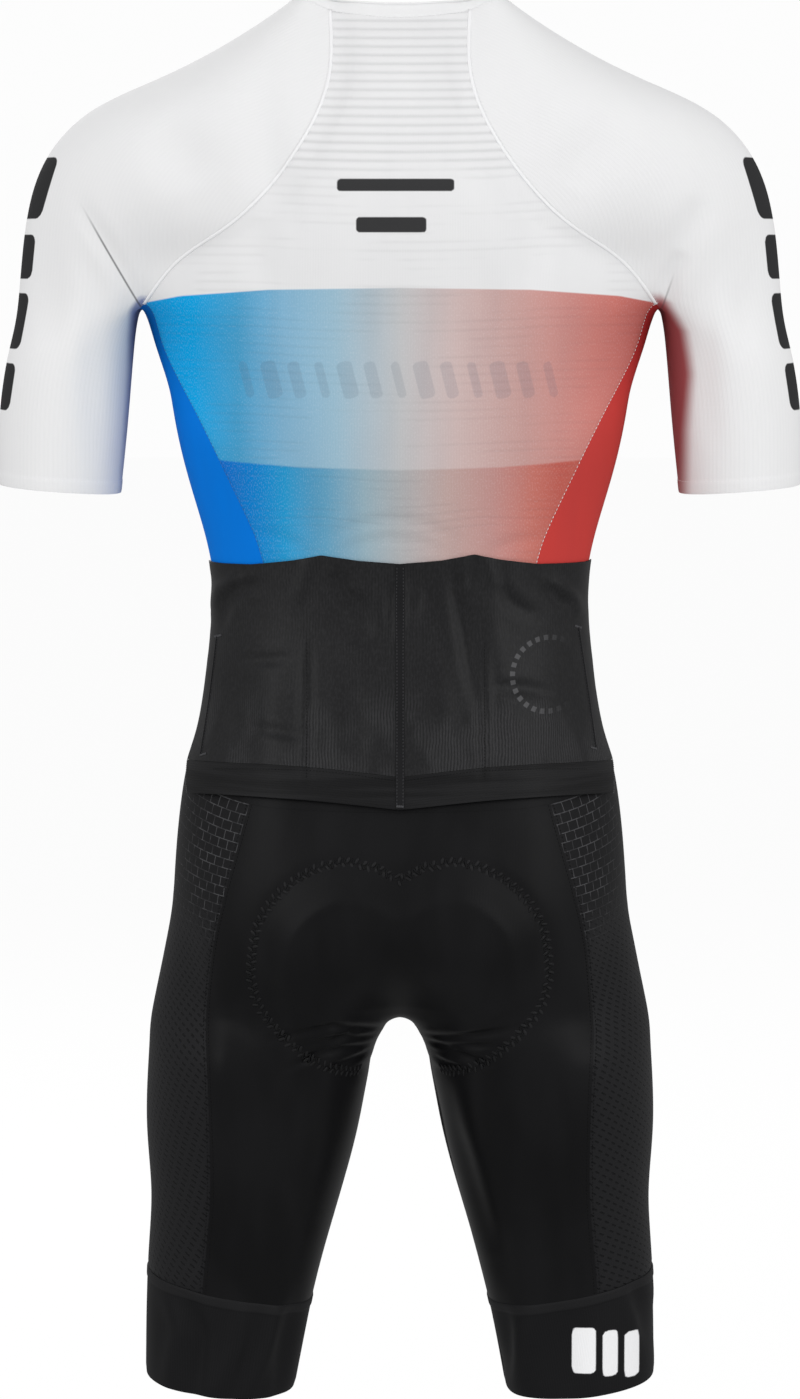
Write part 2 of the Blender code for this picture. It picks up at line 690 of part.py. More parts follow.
def make_tail_strip():
    line = middle_line(True, TAIL_ROW, BAND_ROW - 0.5)
    for z in (TAIL_HEM_Z + TAIL_HEM_BAND, TAIL_HEM_Z):
        line.append((*skin_around(z, 0), BAND_ROW))
    line = [(spot + normal * (tail_lift(row) + TAIL_WALL), normal) for spot, normal, row in line]
    strip("tail_strip", "charcoal", line, TAIL_STRIP_WIDTH,
          SEAM_GAP + TAIL_STRIP_WALL, SEAM_GAP)


def box(name, low, high):
    """A closed block between two corners."""
    block = bmesh.new()
    bmesh.ops.create_cube(block, size=1.0)
    bmesh.ops.scale(block, vec=Vector(high) - Vector(low), verts=block.verts)
    bmesh.ops.translate(block, vec=(Vector(low) + Vector(high)) / 2, verts=block.verts)
    return guide(name, block)


def combine(first, second, operation):
    """Join or cut two meshes, keep the first and remove the second."""
    step = first.modifiers.new(operation.lower(), "BOOLEAN")
    step.operation = operation
    step.object = second
    mesh = evaluated(first)
    first.modifiers.clear()
    first.data = mesh
    bpy.data.objects.remove(second, do_unlink=True)
    return first


def place_on_zip(block, name, colour):
    """Set a block on the zip, from its own frame of x across, y up the zip and z out."""
    shape = bmesh.new()
    shape.from_mesh(block.data)
    bpy.data.objects.remove(block, do_unlink=True)
    bmesh.ops.transform(shape, matrix=zip_frame(), verts=shape.verts)
    return finish_piece(name, shape, colour, smooth_angle=30, roughness=0.35, metallic=0.8)


def zip_frame():
    """The slider's place: x across, y up along the zip, z out of the coil's face."""
    (top, _, _), (lower, _, _) = middle_line(False, 0, 0.5)
    up = (top - lower).normalized()
    across = Vector((1, 0, 0))
    out = across.cross(up)
    origin = top - up * SLIDER_DROP + out * (SEAM_GAP * 2 + ZIP_TAPE_WALL + ZIP_COIL_WALL)
    frame = Matrix((across, up, out)).transposed().to_4x4()
    frame.translation = origin
    return frame


def make_zip():
    line = [(spot, normal) for spot, normal, _ in middle_line(False, 0, WAIST_ROW)]
    end = next(i for i, (spot, _) in enumerate(line) if spot.z < ZIP_END_Z)
    (above, above_normal), (below, below_normal) = line[end - 1], line[end]
    share = (above.z - ZIP_END_Z) / (above.z - below.z)
    line = line[:end] + [(above.lerp(below, share), above_normal.lerp(below_normal, share))]
    tape_top = SEAM_GAP + ZIP_TAPE_WALL
    strip("zip_tape", "tape", line, ZIP_TAPE_WIDTH, tape_top, SEAM_GAP)
    strip("zip_coil", "coil", line, ZIP_COIL_WIDTH, tape_top + SEAM_GAP + ZIP_COIL_WALL,
          tape_top + SEAM_GAP)

    wide, long, thick = SLIDER_SIZE
    base = SLIDER_CLEARANCE
    slider = box("slider", (-wide / 2, -long / 2, base), (wide / 2, long / 2, base + thick))
    top = base + thick
    arch = box("arch", (-BRIDGE_WIDTH / 2, -BRIDGE_LENGTH / 2, top - 0.0005),
               (BRIDGE_WIDTH / 2, BRIDGE_LENGTH / 2, top + BRIDGE_RISE))
    tunnel = box("tunnel", (-wide, -TUNNEL_LENGTH / 2, top + TUNNEL_LIFT),
                 (wide, TUNNEL_LENGTH / 2, top + TUNNEL_LIFT + TUNNEL_RISE))
    combine(slider, arch, "UNION")
    combine(slider, tunnel, "DIFFERENCE")
    place_on_zip(slider, "zip_slider", "metal")

    pivot = top + TUNNEL_LIFT + TUNNEL_RISE / 2
    half = PULL_THICK / 2
    pull = box("pull", (-PULL_WIDTH / 2, -PULL_LENGTH, pivot - half),
               (PULL_WIDTH / 2, half, pivot + half))
    eye = box("eye", (-EYE_WIDTH / 2, -half - EYE_LENGTH, pivot - 2 * PULL_THICK),
              (EYE_WIDTH / 2, -half, pivot + 2 * PULL_THICK))
    combine(pull, eye, "DIFFERENCE")
    place_on_zip(pull, "zip_pull", "metal")


# Seat pad ------------------------------------------------------------------------------------

def outline_block():
    """The pad's outline as a block along y, from just in front of the crotch back past the seat."""
    left = [(spot.x, spot.z) for spot in PAD_OUTLINE]
    right = [(-x, z) for x, z in left[1:-1]]
    outline = left + right[::-1]
    block = bmesh.new()
    front, back = [[block.verts.new((x, y, z)) for x, z in outline] for y in PAD_BLOCK_Y]
    for c in range(len(outline)):
        after = (c + 1) % len(outline)
        block.faces.new((front[c], front[after], back[after], back[c]))
    block.faces.new(front)
    block.faces.new(back)
    bmesh.ops.recalc_face_normals(block, faces=block.faces)
    return guide("pad_outline", block)


def make_seat_pad():
    """Chamois under the seat: a shell inside the shorts, trimmed to the stitched outline."""
    surface = cut_piece(lambda zone, c, r, x: WAIST_ROW < r < CROTCH_ROW + 2
                        and (zone in ("back", "inner") or zone == "front" and r > WAIST_ROW + 1))
    top = -WALL - PAD_GAP
    thicken(surface, lambda vert: top, lambda vert: top - PAD_WALL)
    pad = combine(guide("pad_shell", surface), outline_block(), "INTERSECT")
    trimmed = bmesh.new()
    trimmed.from_mesh(pad.data)
    bpy.data.objects.remove(pad, do_unlink=True)
    finish_piece("seat_pad", trimmed, "pad")


clear_scene()
SUIT = new_collection("cycling_skinsuit")
GUIDES = new_collection("guides")
SKIN = build_skin()
SKIN_TREE = BVHTree.FromPolygons([vert.co for vert in SKIN.vertices],
                                 [list(face.vertices) for face in SKIN.polygons])
make_upper()
make_back_panel()
make_shorts()
make_tail()
make_tail_strip()
make_zip()
make_seat_pad()
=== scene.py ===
# %% [markdown]
# # A cycling skinsuit, seen from behind
#
# A skinsuit is one close-fitting garment: raglan sleeves, a printed back, padded shorts with
# gripper cuffs, and a pocket panel that hangs over the small of the back like a tail. Here it
# keeps the round shape of a body with nobody in it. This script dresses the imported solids: each
# solid of cloth is hidden behind a thin smooth shell of the same form, with its folds, seams,
# stitches and print.

# %% Load the fixed frame
import json
import math
from collections import namedtuple
from contextlib import contextmanager

import bmesh
import bpy
import numpy as np
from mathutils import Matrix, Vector
from mathutils.bvhtree import BVHTree

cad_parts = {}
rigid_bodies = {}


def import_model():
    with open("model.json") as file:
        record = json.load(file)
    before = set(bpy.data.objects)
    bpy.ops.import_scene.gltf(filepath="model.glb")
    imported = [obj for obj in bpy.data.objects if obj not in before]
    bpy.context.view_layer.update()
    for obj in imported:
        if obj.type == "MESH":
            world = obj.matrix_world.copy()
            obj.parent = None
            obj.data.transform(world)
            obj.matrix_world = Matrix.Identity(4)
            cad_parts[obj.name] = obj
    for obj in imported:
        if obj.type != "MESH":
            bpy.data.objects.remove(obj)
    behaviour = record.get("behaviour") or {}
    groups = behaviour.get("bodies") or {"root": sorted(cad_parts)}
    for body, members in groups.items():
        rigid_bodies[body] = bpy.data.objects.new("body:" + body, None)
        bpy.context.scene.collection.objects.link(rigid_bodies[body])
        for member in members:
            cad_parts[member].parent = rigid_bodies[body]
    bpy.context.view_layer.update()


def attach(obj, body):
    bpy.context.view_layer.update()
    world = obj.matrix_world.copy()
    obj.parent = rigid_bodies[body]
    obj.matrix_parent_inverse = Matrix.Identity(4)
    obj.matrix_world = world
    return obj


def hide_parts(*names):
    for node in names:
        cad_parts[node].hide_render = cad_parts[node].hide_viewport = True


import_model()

# %% [markdown]
# ## Camera, floor and light
#
# The camera comes first, because everything is judged through it. It stands about three metres
# behind the suit, a little above the middle, with a long lens, so the shoulders and the hems are
# seen nearly straight on.

# %% Place the camera
LOOK_AT = Vector((0, 0, -0.493))
CAMERA_AT = Vector((0, 3.0830, -0.1690))
LENS, SENSOR = 195.1, 36


def aim(thing, place, target):
    """Put a camera or lamp at a place and turn it to a target."""
    thing.location = place
    thing.rotation_euler = (target - place).to_track_quat("-Z", "Y").to_euler()
    bpy.context.scene.collection.objects.link(thing)


camera = bpy.data.objects.new("camera", bpy.data.cameras.new("camera"))
camera.data.lens, camera.data.sensor_width = LENS, SENSOR
camera.data.sensor_fit = "HORIZONTAL"
camera.data.clip_end = 60
aim(camera, CAMERA_AT, LOOK_AT)
bpy.context.scene.camera = camera
print("camera", round((CAMERA_AT - LOOK_AT).length, 3), "m away")

# %% [markdown]
# A product studio for clothes is a white room in which two large soft lamps give the cloth its
# form. Here the camera sees the white room, while the cloth is lit by a dimmer sky that is
# brighter above than below, so that folds and the seat get soft shade and the black lycra shows
# its shine. The floor glows white for the camera and lights nothing.

# %% Light the room
ROOM_WHITE, SKY_ABOVE, SKY_BELOW, SKY_FRONT = 0.98, 0.84, 0.60, 0.55
FLOOR_Z, FLOOR_GREY, FLOOR_GLOW = -1.30, 0.08, 0.91


def soft_lamp(name, place, size, watts):
    lamp = bpy.data.objects.new(name, bpy.data.lights.new(name, "AREA"))
    lamp.data.shape = "SQUARE"
    lamp.data.size = size
    lamp.data.energy = watts
    aim(lamp, Vector(place), LOOK_AT)


def white_room():
    """A world that is white where the camera sees it and dimmer where it lights the cloth."""
    world = bpy.data.worlds.new("white_room")
    world.use_nodes = True
    sky = world.node_tree
    height = sky.nodes.new("ShaderNodeSeparateXYZ")
    sky.links.new(sky.nodes.new("ShaderNodeTexCoord").outputs["Generated"], height.inputs[0])
    light = sky.nodes.new("ShaderNodeMath")
    light.operation = "MULTIPLY"
    ranges = [("Z", -0.7, 0.7, SKY_BELOW, SKY_ABOVE), ("Y", -0.9, 0.1, SKY_FRONT, 1.0)]
    for socket, (axis, *limits) in zip(light.inputs, ranges):
        part = sky.nodes.new("ShaderNodeMapRange")
        for limit, value in zip(part.inputs[1:5], limits):
            limit.default_value = value
        sky.links.new(height.outputs[axis], part.inputs[0])
        sky.links.new(part.outputs[0], socket)
    seen = sky.nodes.new("ShaderNodeMix")
    seen.inputs[3].default_value = ROOM_WHITE
    sky.links.new(sky.nodes.new("ShaderNodeLightPath").outputs["Is Camera Ray"], seen.inputs[0])
    sky.links.new(light.outputs[0], seen.inputs[2])
    sky.links.new(seen.outputs[0], sky.nodes["Background"].inputs["Color"])
    return world


bpy.context.scene.world = white_room()
bpy.context.scene.view_settings.view_transform = "Standard"
soft_lamp("lamp_left", (2.4, 2.2, 0.5), 2.2, 42)
soft_lamp("lamp_right", (-2.5, 2.0, 0.4), 2.2, 46)
soft_lamp("lamp_front", (0.7, -2.8, 1.2), 1.4, 34)

bpy.ops.mesh.primitive_plane_add(size=40, location=(0, 0, FLOOR_Z))
floor = bpy.context.object
floor.name = "floor"
floor.visible_diffuse = floor.visible_glossy = False      # the dim sky lights the hems instead
floor.data.materials.append(bpy.data.materials.new("pale_floor"))
floor.data.materials[0].use_nodes = True
floor_shader = floor.data.materials[0].node_tree.nodes["Principled BSDF"]
for socket, value in {"Base Color": (FLOOR_GREY, FLOOR_GREY, FLOOR_GREY, 1), "Roughness": 0.9,
                      "Specular IOR Level": 0, "Emission Color": (1, 1, 1, 1),
                      "Emission Strength": FLOOR_GLOW}.items():
    floor_shader.inputs[socket].default_value = value
print("room: white world, pale floor, three soft lamps")

# %% [markdown]
# ## The rings of the body
#
# A garment that fits is best described by rings round the body, as a tailor measures one. The
# tables below are the same named sizes that shaped the solids: a row for each ring, from the
# collar down, in millimetres, with only the wearer's left half written. Columns of the rings
# follow the seams, so the suit can be cut into its real pattern pieces along them later.

# %% Write the tables of rings
SIDE_Y = -0.004               # where the body is widest, front to back
BACK_COLS, ARM_COLS, UNDER_COLS, FRONT_COLS = 3, 6, 3, 3
ZONES = ["back", "arm", "front", "side", "under", "inner"]
BACK, ARM, FRONT, SIDE, UNDER, INNER = range(6)


def rings_from(kind, table):
    """Rings of one kind from rows of millimetres. How square a ring is, and the degrees by
    which it wraps round the arm, are plain numbers."""
    plain = ("square", "wrap")
    return [kind(*(value if field in plain else value / 1000
                   for field, value in zip(kind._fields, row))) for row in table]


Yoke = namedtuple("Yoke", "back_y back_z seam_x seam_y seam_z top_x top_y top_z "
                          "fseam_x fseam_y fseam_z front_y front_z square wrap")
YOKE = rings_from(Yoke, [
    (46.5, -3.5, 47.5, 36.5, -1, 70, -1, -0.8, 44.5, -52, -33, -60, -49, 2, 0),      # top edge
    (50.5, -12.5, 49, 40, -6.8, 79.8, -1, -6.8, 49, -60.5, -44, -70.5, -63, 2, 0),   # collar seam
    (79.5, -45.5, 47.6, 70.5, -49.2, 126.2, -1, -32.2, 60, -87, -71, -90.5, -87.5, 2, 0),
    (95.5, -78.5, 61.6, 89.5, -90, 172.8, -3, -54.6, 80, -101.5, -101, -105.5, -112.5, 2, 0),
    (104, -111.5, 85.7, 93.5, -125.8, 220.6, -4, -77.6, 104.5, -107.5, -132.5, -116.5, -137.5,
     2.3, 0),
    (107.8, -144.5, 116.7, 86.5, -156.4, 253, -5, -115, 130, -103, -162, -122.5, -162.5, 2.7,
     0),
    (106.8, -177.5, 153.2, 65, -180, 265.8, -6, -164, 154.5, -82, -187, -124.5, -187.5, 3.1, 8),
    (103, -210.5, 178.5, 44, -211, 271.2, -7, -215, 176.5, -54, -210.5, -124.5, -212.5, 3.3,
     32),                     # armpit
])
UNDERARM_X, UNDERARM_Z = .1830, -.2130

Sleeve = namedtuple("Sleeve", "outer_z inner_z outer_x inner_x back front")
SLEEVE = rings_from(Sleeve, [
    (-248, -244, 278, 188.5, 52.5, -61.5),
    (-292, -293, 284.5, 193.2, 53, -61),
    (-338.5, -345, 284.8, 198.7, 52.5, -59),   # hem
])
SLEEVE_SEAM_TURN, SLEEVE_SQUARE = 126, 2.15

Body = namedtuple("Body", "back_z side_z front_z half_width back front seam_x fseam_x "
                          "square tuck ftuck")
BODY = rings_from(Body, [
    (-243, -242, -244, 169, 99.5, -122.5, 167.5, 165, 2.6, 0, 0),
    (-290, -290, -291, 160.3, 93.5, -117, 140.5, 143.5, 2.5, 0, 0),
    (-340, -340, -340, 148.3, 84.2, -113, 116.5, 125, 2.3, 0, 0),
    (-390, -391, -389, 134.6, 76, -111, 95.7, 113, 2.3, 0, 0),   # tail top
    (-448, -445, -435, 131.4, 74.5, -110.5, 92.5, 108, 2.3, 0, 0),
    (-513, -505, -480, 139, 88, -113, 97, 109.5, 2.4, 0, 0),
    (-561, -534.4, -492, 149.4, 103.5, -114, 105, 115, 2.5, 0, 0),   # waist seam
    (-612, -592, -560, 157.8, 116.5, -112.5, 119, 124, 2.5, 0, 0),
    (-662, -650, -632, 163.1, 116.5, -107, 131.2, 131, 2.5, 7, 4),
    (-708, -713.5, -711, 175.7, 101, -99, 136.3, 137, 2.5, 48, 47),
])
TUCK_WIDTH = .034             # half-width of the dip along the middle near the crotch
CROTCH_Z = (-.7130, -.7135)

Leg = namedtuple("Leg", "outer_z inner_z outer_x inner_x back front seam_x fseam_x")
LEG = rings_from(Leg, [
    (-743, -740, 179.8, 17.2, 92.5, -94, 135, 138),
    (-797, -802, 182.2, 30, 82, -90.5, 133.5, 139),
    (-850, -863, 179, 46.5, 70.5, -84.5, 135, 141),
    (-904.5, -926.5, 182.1, 63.5, 61, -77.5, 140.3, 144),   # cuff seam
    (-982.5, -992.5, 183.8, 76.5, 60.5, -74, 142, 146),     # hem
])
LEG_BACK_TURN, LEG_SQUARE = 142, 2.3

ARMPIT_ROW = len(YOKE) - 1
TAIL_ROW = ARMPIT_ROW + 4
WAIST_ROW = ARMPIT_ROW + 7
BAND_ROW = WAIST_ROW - 0.5
CROTCH_ROW = ARMPIT_ROW + len(BODY)
CUFF_ROW = CROTCH_ROW + 4
print("rings:", len(YOKE) + len(SLEEVE) + len(BODY) + len(LEG))

# %% [markdown]
# Each table row becomes a ring of points. The yoke rings go over the shoulders, the trunk rings
# are rounded boxes that are fuller than an ellipse, and the sleeve and leg rings are closed tubes.

# %% Turn a table row into a ring of points
def lerp(start, end, share):
    return start + (end - start) * share


def signed_power(value, power):
    return math.copysign(abs(value) ** power, value)


def yoke_ring(row):
    """Half a ring that goes round the shoulders: back, over the arm, front."""
    def panel(middle_y, middle_z, seam, share):
        bend = share ** row.square
        return Vector((seam.x * share, lerp(middle_y, seam.y, bend), lerp(middle_z, seam.z, bend)))

    seam = Vector((row.seam_x, row.seam_y, row.seam_z))
    fseam = Vector((row.fseam_x, row.fseam_y, row.fseam_z))
    wrap = math.radians(row.wrap)
    chord = (seam + fseam) / 2
    reach = (Vector((row.top_x, row.top_y, row.top_z)) - chord) / (1 + math.sin(wrap))
    centre = chord + reach * math.sin(wrap)
    half = (seam - fseam) / (2 * math.cos(wrap))
    ring = [panel(row.back_y, row.back_z, seam, step / BACK_COLS) for step in range(BACK_COLS)]
    for step in range(ARM_COLS + 1):
        turn = lerp(-wrap, math.pi + wrap, step / ARM_COLS)
        ring.append(centre + half * math.cos(turn) + reach * math.sin(turn))
    return ring + [panel(row.front_y, row.front_z, fseam, step / FRONT_COLS)
                   for step in reversed(range(FRONT_COLS))]


def section(row):
    """A trunk section's left half as close-set points from the back to the front."""
    points = []
    for step in range(721):
        turn = math.pi * step / 720
        depth = row.back - SIDE_Y if math.cos(turn) > 0 else SIDE_Y - row.front
        points.append(Vector((row.half_width * abs(math.sin(turn)) ** (2 / row.square),
                              SIDE_Y + depth * signed_power(math.cos(turn), 2 / row.square), 0)))
    return points


def body_ring(row):
    """Half a ring round the trunk: back, side, front, with its height set along the way."""
    points = section(row)
    along = [0.0]
    for first, second in zip(points, points[1:]):
        along.append(along[-1] + (second - first).length)
    middle = len(points) // 2

    def place(length):
        index = next(i for i in range(1, len(along)) if along[i] >= length - 1e-9)
        share = (length - along[index - 1]) / (along[index] - along[index - 1])
        return points[index - 1].lerp(points[index], share)

    def length_at(x, indices):
        return along[min(indices, key=lambda i: abs(points[i].x - x))]

    back, front = range(middle), range(middle, len(points))
    lengths = [length_at(row.seam_x * c / BACK_COLS, back) for c in range(BACK_COLS)]
    lengths += [lerp(length_at(row.seam_x, back), length_at(row.fseam_x, front), c / UNDER_COLS)
                for c in range(UNDER_COLS)]
    lengths += [length_at(row.fseam_x * (1 - c / FRONT_COLS), front)
                for c in range(FRONT_COLS + 1)]
    ring = []
    for length in lengths:
        spot = place(length)
        dip = math.exp(-(spot.x / TUCK_WIDTH) ** 2)
        if length <= along[middle]:
            spot.z = lerp(row.back_z, row.side_z, (length / along[middle]) ** 3)
            spot.y -= row.tuck * dip
        else:
            share = (length - along[middle]) / (along[-1] - along[middle])
            spot.z = lerp(row.side_z, row.front_z, share)
            spot.y += row.ftuck * dip
        ring.append(spot)
    return ring


def tube_spot(row, turn, square):
    """A point of a sleeve or leg ring, with turn in degrees from the outside over the back."""
    centre = (row.outer_x + row.inner_x) / 2
    half = (row.outer_x - row.inner_x) / 2
    across = signed_power(math.cos(math.radians(turn)), 2 / square)
    deep = signed_power(math.sin(math.radians(turn)), 2 / square)
    depth = row.back - SIDE_Y if deep > 0 else SIDE_Y - row.front
    return Vector((centre + half * across, SIDE_Y + depth * deep,
                   lerp(row.inner_z, row.outer_z, (1 + across) / 2)))


def sleeve_ring(row):
    """A whole sleeve ring from the back seam column round the arm and back underneath."""
    turns = [lerp(SLEEVE_SEAM_TURN, -SLEEVE_SEAM_TURN, c / ARM_COLS) for c in range(ARM_COLS)]
    turns += [lerp(-SLEEVE_SEAM_TURN, SLEEVE_SEAM_TURN - 360, c / UNDER_COLS)
              for c in range(UNDER_COLS)]
    return [tube_spot(row, turn, SLEEVE_SQUARE) for turn in turns]


def seam_turn(row, x):
    centre = (row.outer_x + row.inner_x) / 2
    half = (row.outer_x - row.inner_x) / 2
    return math.degrees(math.acos(((x - centre) / half) ** (LEG_SQUARE / 2)))


def leg_ring(row):
    """A whole leg ring: back, outside and front as on the trunk, then the inside of the leg."""
    back_seam = seam_turn(row, row.seam_x)
    front_seam = -seam_turn(row, row.fseam_x)
    marks = [(LEG_BACK_TURN, back_seam, BACK_COLS), (back_seam, front_seam, UNDER_COLS),
             (front_seam, -LEG_BACK_TURN, FRONT_COLS),
             (-LEG_BACK_TURN, LEG_BACK_TURN - 360, UNDER_COLS)]
    turns = [lerp(start, end, c / count) for start, end, count in marks for c in range(count)]
    return [tube_spot(row, turn, LEG_SQUARE) for turn in turns]


print("trunk ring:", len(body_ring(BODY[0])), "points; leg ring:", len(leg_ring(LEG[0])))

# %% [markdown]
# ## One smooth skin
#
# Neighbouring pattern pieces have to meet exactly at their seams. Modelling them one by one would
# leave gaps, so the whole left half is first joined into one coarse cage of four-sided faces.
# Every corner of a face remembers its column and row in the pattern. A Mirror gives the other
# half and a Subdivision Surface the smooth skin. Smoothing pulls the skin inside the cage, so the
# cage is pushed out a few times until the skin passes through the rings again.

# %% Join the rings into a cage
def build_cage():
    cage = bmesh.new()
    cut = cage.loops.layers.uv.new("cut")

    def add(points):
        return [cage.verts.new(point) for point in points]

    def join(upper, lower, row, counts, closed=False):
        columns = [(zone, number) for zone, count in counts for number in range(count)]
        for c in range(len(upper) if closed else len(upper) - 1):
            after = (c + 1) % len(upper)
            face = cage.faces.new((upper[c], upper[after], lower[after], lower[c]))
            zone, number = columns[c]
            face.material_index = zone
            corners = [(number, row), (number + 1, row), (number + 1, row + 1), (number, row + 1)]
            for loop, corner in zip(face.loops, corners):
                loop[cut].uv = corner

    trunk = [(BACK, BACK_COLS), (SIDE, UNDER_COLS), (FRONT, FRONT_COLS)]
    rings = [add(yoke_ring(row)) for row in YOKE]
    for row, (upper, lower) in enumerate(zip(rings, rings[1:])):
        join(upper, lower, row, [(BACK, BACK_COLS), (ARM, ARM_COLS), (FRONT, FRONT_COLS)])
    armpit = rings[-1]
    front_end = BACK_COLS + ARM_COLS
    underarm = []
    for step in range(1, UNDER_COLS):
        share = step / UNDER_COLS
        spot = armpit[BACK_COLS].co.lerp(armpit[front_end].co, share)
        bulge = math.sin(math.pi * share)
        spot.x = lerp(spot.x, UNDERARM_X, bulge)
        spot.z = lerp(spot.z, UNDERARM_Z, bulge)
        underarm.append(cage.verts.new(spot))
    upper = armpit[BACK_COLS:front_end + 1] + underarm[::-1]
    for row, sleeve in enumerate(SLEEVE):
        lower = add(sleeve_ring(sleeve))
        join(upper, lower, ARMPIT_ROW + row, [(ARM, ARM_COLS), (UNDER, UNDER_COLS)], closed=True)
        upper = lower
    upper = armpit[:BACK_COLS + 1] + underarm + armpit[front_end:]
    for row, body in enumerate(BODY):
        lower = add(body_ring(body))
        join(upper, lower, ARMPIT_ROW + row, trunk)
        upper = lower
    share = [step / UNDER_COLS for step in range(1, UNDER_COLS)]
    upper = upper + add([Vector((0, lerp(upper[-1].co.y, upper[0].co.y, s), z))
                         for s, z in zip(share, CROTCH_Z)])
    for vert in upper:
        if abs(vert.co.x) < 1e-6:
            vert.co.x = 0
    for row, leg in enumerate(LEG):
        lower = add(leg_ring(leg))
        join(upper, lower, CROTCH_ROW + row, trunk + [(INNER, UNDER_COLS)], closed=True)
        upper = lower
    return cage


cage_mesh = bpy.data.meshes.new("cage")
cage_shape = build_cage()
cage_shape.to_mesh(cage_mesh)
cage_shape.free()
cage = bpy.data.objects.new("cage", cage_mesh)
bpy.context.scene.collection.objects.link(cage)
for zone in ZONES:
    cage_mesh.materials.append(bpy.data.materials.new("zone_" + zone))
print("cage faces:", len(cage_mesh.polygons))

# %% Smooth it and push it back out to the rings
SKIN_LEVEL = 4                # each cage face becomes 16 x 16 small ones, about 3 mm wide
STEPS = 2 ** SKIN_LEVEL


def evaluated(thing):
    bpy.context.view_layer.update()
    graph = bpy.context.evaluated_depsgraph_get()
    return bpy.data.meshes.new_from_object(thing.evaluated_get(graph), depsgraph=graph)


mirror = cage.modifiers.new("other_half", "MIRROR")
mirror.merge_threshold = 0.0001
smooth = cage.modifiers.new("smooth", "SUBSURF")
smooth.levels = smooth.render_levels = 1
smooth.use_limit_surface = True
smooth.uv_smooth = "NONE"
rings_at = [vert.co.copy() for vert in cage_mesh.vertices]
for _ in range(4):
    skin = evaluated(cage)
    for index, spot in enumerate(rings_at):
        cage_mesh.vertices[index].co += spot - skin.vertices[index].co
    bpy.data.meshes.remove(skin)
smooth.levels = smooth.render_levels = SKIN_LEVEL
skin = evaluated(cage)
print("skin:", len(skin.vertices), "points,", len(skin.polygons), "faces")

# %% [markdown]
# The skin is read into plain arrays, because folds and prints are then a line of arithmetic over
# all points at once. The corners of a face are put in the order of the pattern, first column and
# first row first, so a face can be split into thinner rows where a fine rib or a hem needs them.

# %% Read the skin into arrays
def read_vectors(data, name, width):
    values = np.zeros(len(data) * width, np.float32)
    data.foreach_get(name, values)
    return values.reshape(-1, width).astype(float)


SPOTS = read_vectors(skin.vertices, "co", 3)
NORMALS = read_vectors(skin.vertex_normals, "vector", 3)
corner_verts = read_vectors(skin.loops, "vertex_index", 1).astype(int).reshape(-1, 4)
corner_cut = read_vectors(skin.uv_layers["cut"].uv, "vector", 2).reshape(-1, 4, 2)
first = np.argmin(corner_cut.sum(2), axis=1)
turned = (first[:, None] + np.arange(4)) % 4
QUADS = np.take_along_axis(corner_verts, turned, 1)
CUT = np.take_along_axis(corner_cut, turned[:, :, None], 1)
zone_numbers = np.zeros(len(skin.polygons), np.int32)
skin.polygons.foreach_get("material_index", zone_numbers)
QUAD_ZONE = zone_numbers.astype(int)
QUAD_X = SPOTS[QUADS][:, :, 0].mean(1)
QUAD_SIDE = np.where(QUAD_X > 0, 1, -1)
MIRRORED = np.abs(CUT[:, 1, 0] - CUT[:, 0, 0]) < 1e-6     # their corners run the other way round
QUAD_COLUMN, QUAD_ROW = CUT[:, :, 0].mean(1), CUT[:, :, 1].mean(1)
print("faces of the mirrored half:", int(MIRRORED.sum()), "of", len(QUADS))

# %% [markdown]
# A woven or knitted pattern must not stretch with the columns, so each zone also gets a map in
# real metres: across it, measured along the ring from the zone's middle, and down it.

# %% Measure the cloth in metres
SPANS = {BACK: (BACK_COLS, 0), ARM: (ARM_COLS, ARM_COLS / 2), FRONT: (FRONT_COLS, FRONT_COLS),
         SIDE: (UNDER_COLS, UNDER_COLS / 2), UNDER: (UNDER_COLS, UNDER_COLS / 2),
         INNER: (UNDER_COLS, UNDER_COLS / 2)}
CLOTH = np.zeros_like(CUT)


def measure_grid(grid, middle=0):
    """Metres across a grid of points from its middle column, and mean metres down it."""
    across = np.cumsum(np.linalg.norm(np.diff(grid, axis=1), axis=2), axis=1)
    across = np.hstack([np.zeros((len(grid), 1)), across])
    down = np.cumsum(np.linalg.norm(np.diff(grid, axis=0), axis=2).mean(1))
    return across - across[:, middle][:, None], np.concatenate([[0], down])


def measure_zone(zone, side):
    """Fill CLOTH for a zone on one side, from the distances between neighbouring points."""
    mask = (QUAD_ZONE == zone) & (QUAD_SIDE == side)
    columns = np.rint(CUT[mask][:, :, 0] * STEPS).astype(int)
    rows = np.rint(CUT[mask][:, :, 1] * STEPS).astype(int)
    first_row = rows.min()
    count, middle = SPANS[zone]
    grid = np.zeros((rows.max() - first_row + 1, count * STEPS + 1), int)
    grid[rows - first_row, columns] = QUADS[mask]
    across, down = measure_grid(SPOTS[grid], int(middle * STEPS))
    CLOTH[mask] = np.stack([across[rows - first_row, columns] * side, down[rows - first_row]], 2)
    return across[:, -1] - across[:, 0]


for zone_number in SPANS:
    widths = measure_zone(zone_number, 1)
    measure_zone(zone_number, -1)
    print(ZONES[zone_number], "is", round(widths.min(), 3), "to", round(widths.max(), 3), "m wide")

# %% [markdown]
# ## Folds
#
# Close-fitting cloth has few folds, and they lie where the body bends or a seam pulls. Each one
# is given as a line of points on the back or the front, a width, and a height that is
# negative for a trough. It fades out at both ends, and its sides have a slight lip, as pushed
# cloth has. No two are alike in length, depth or spacing. The tables are in millimetres.

# %% Place the folds
Fold = namedtuple("Fold", "side width rise line")


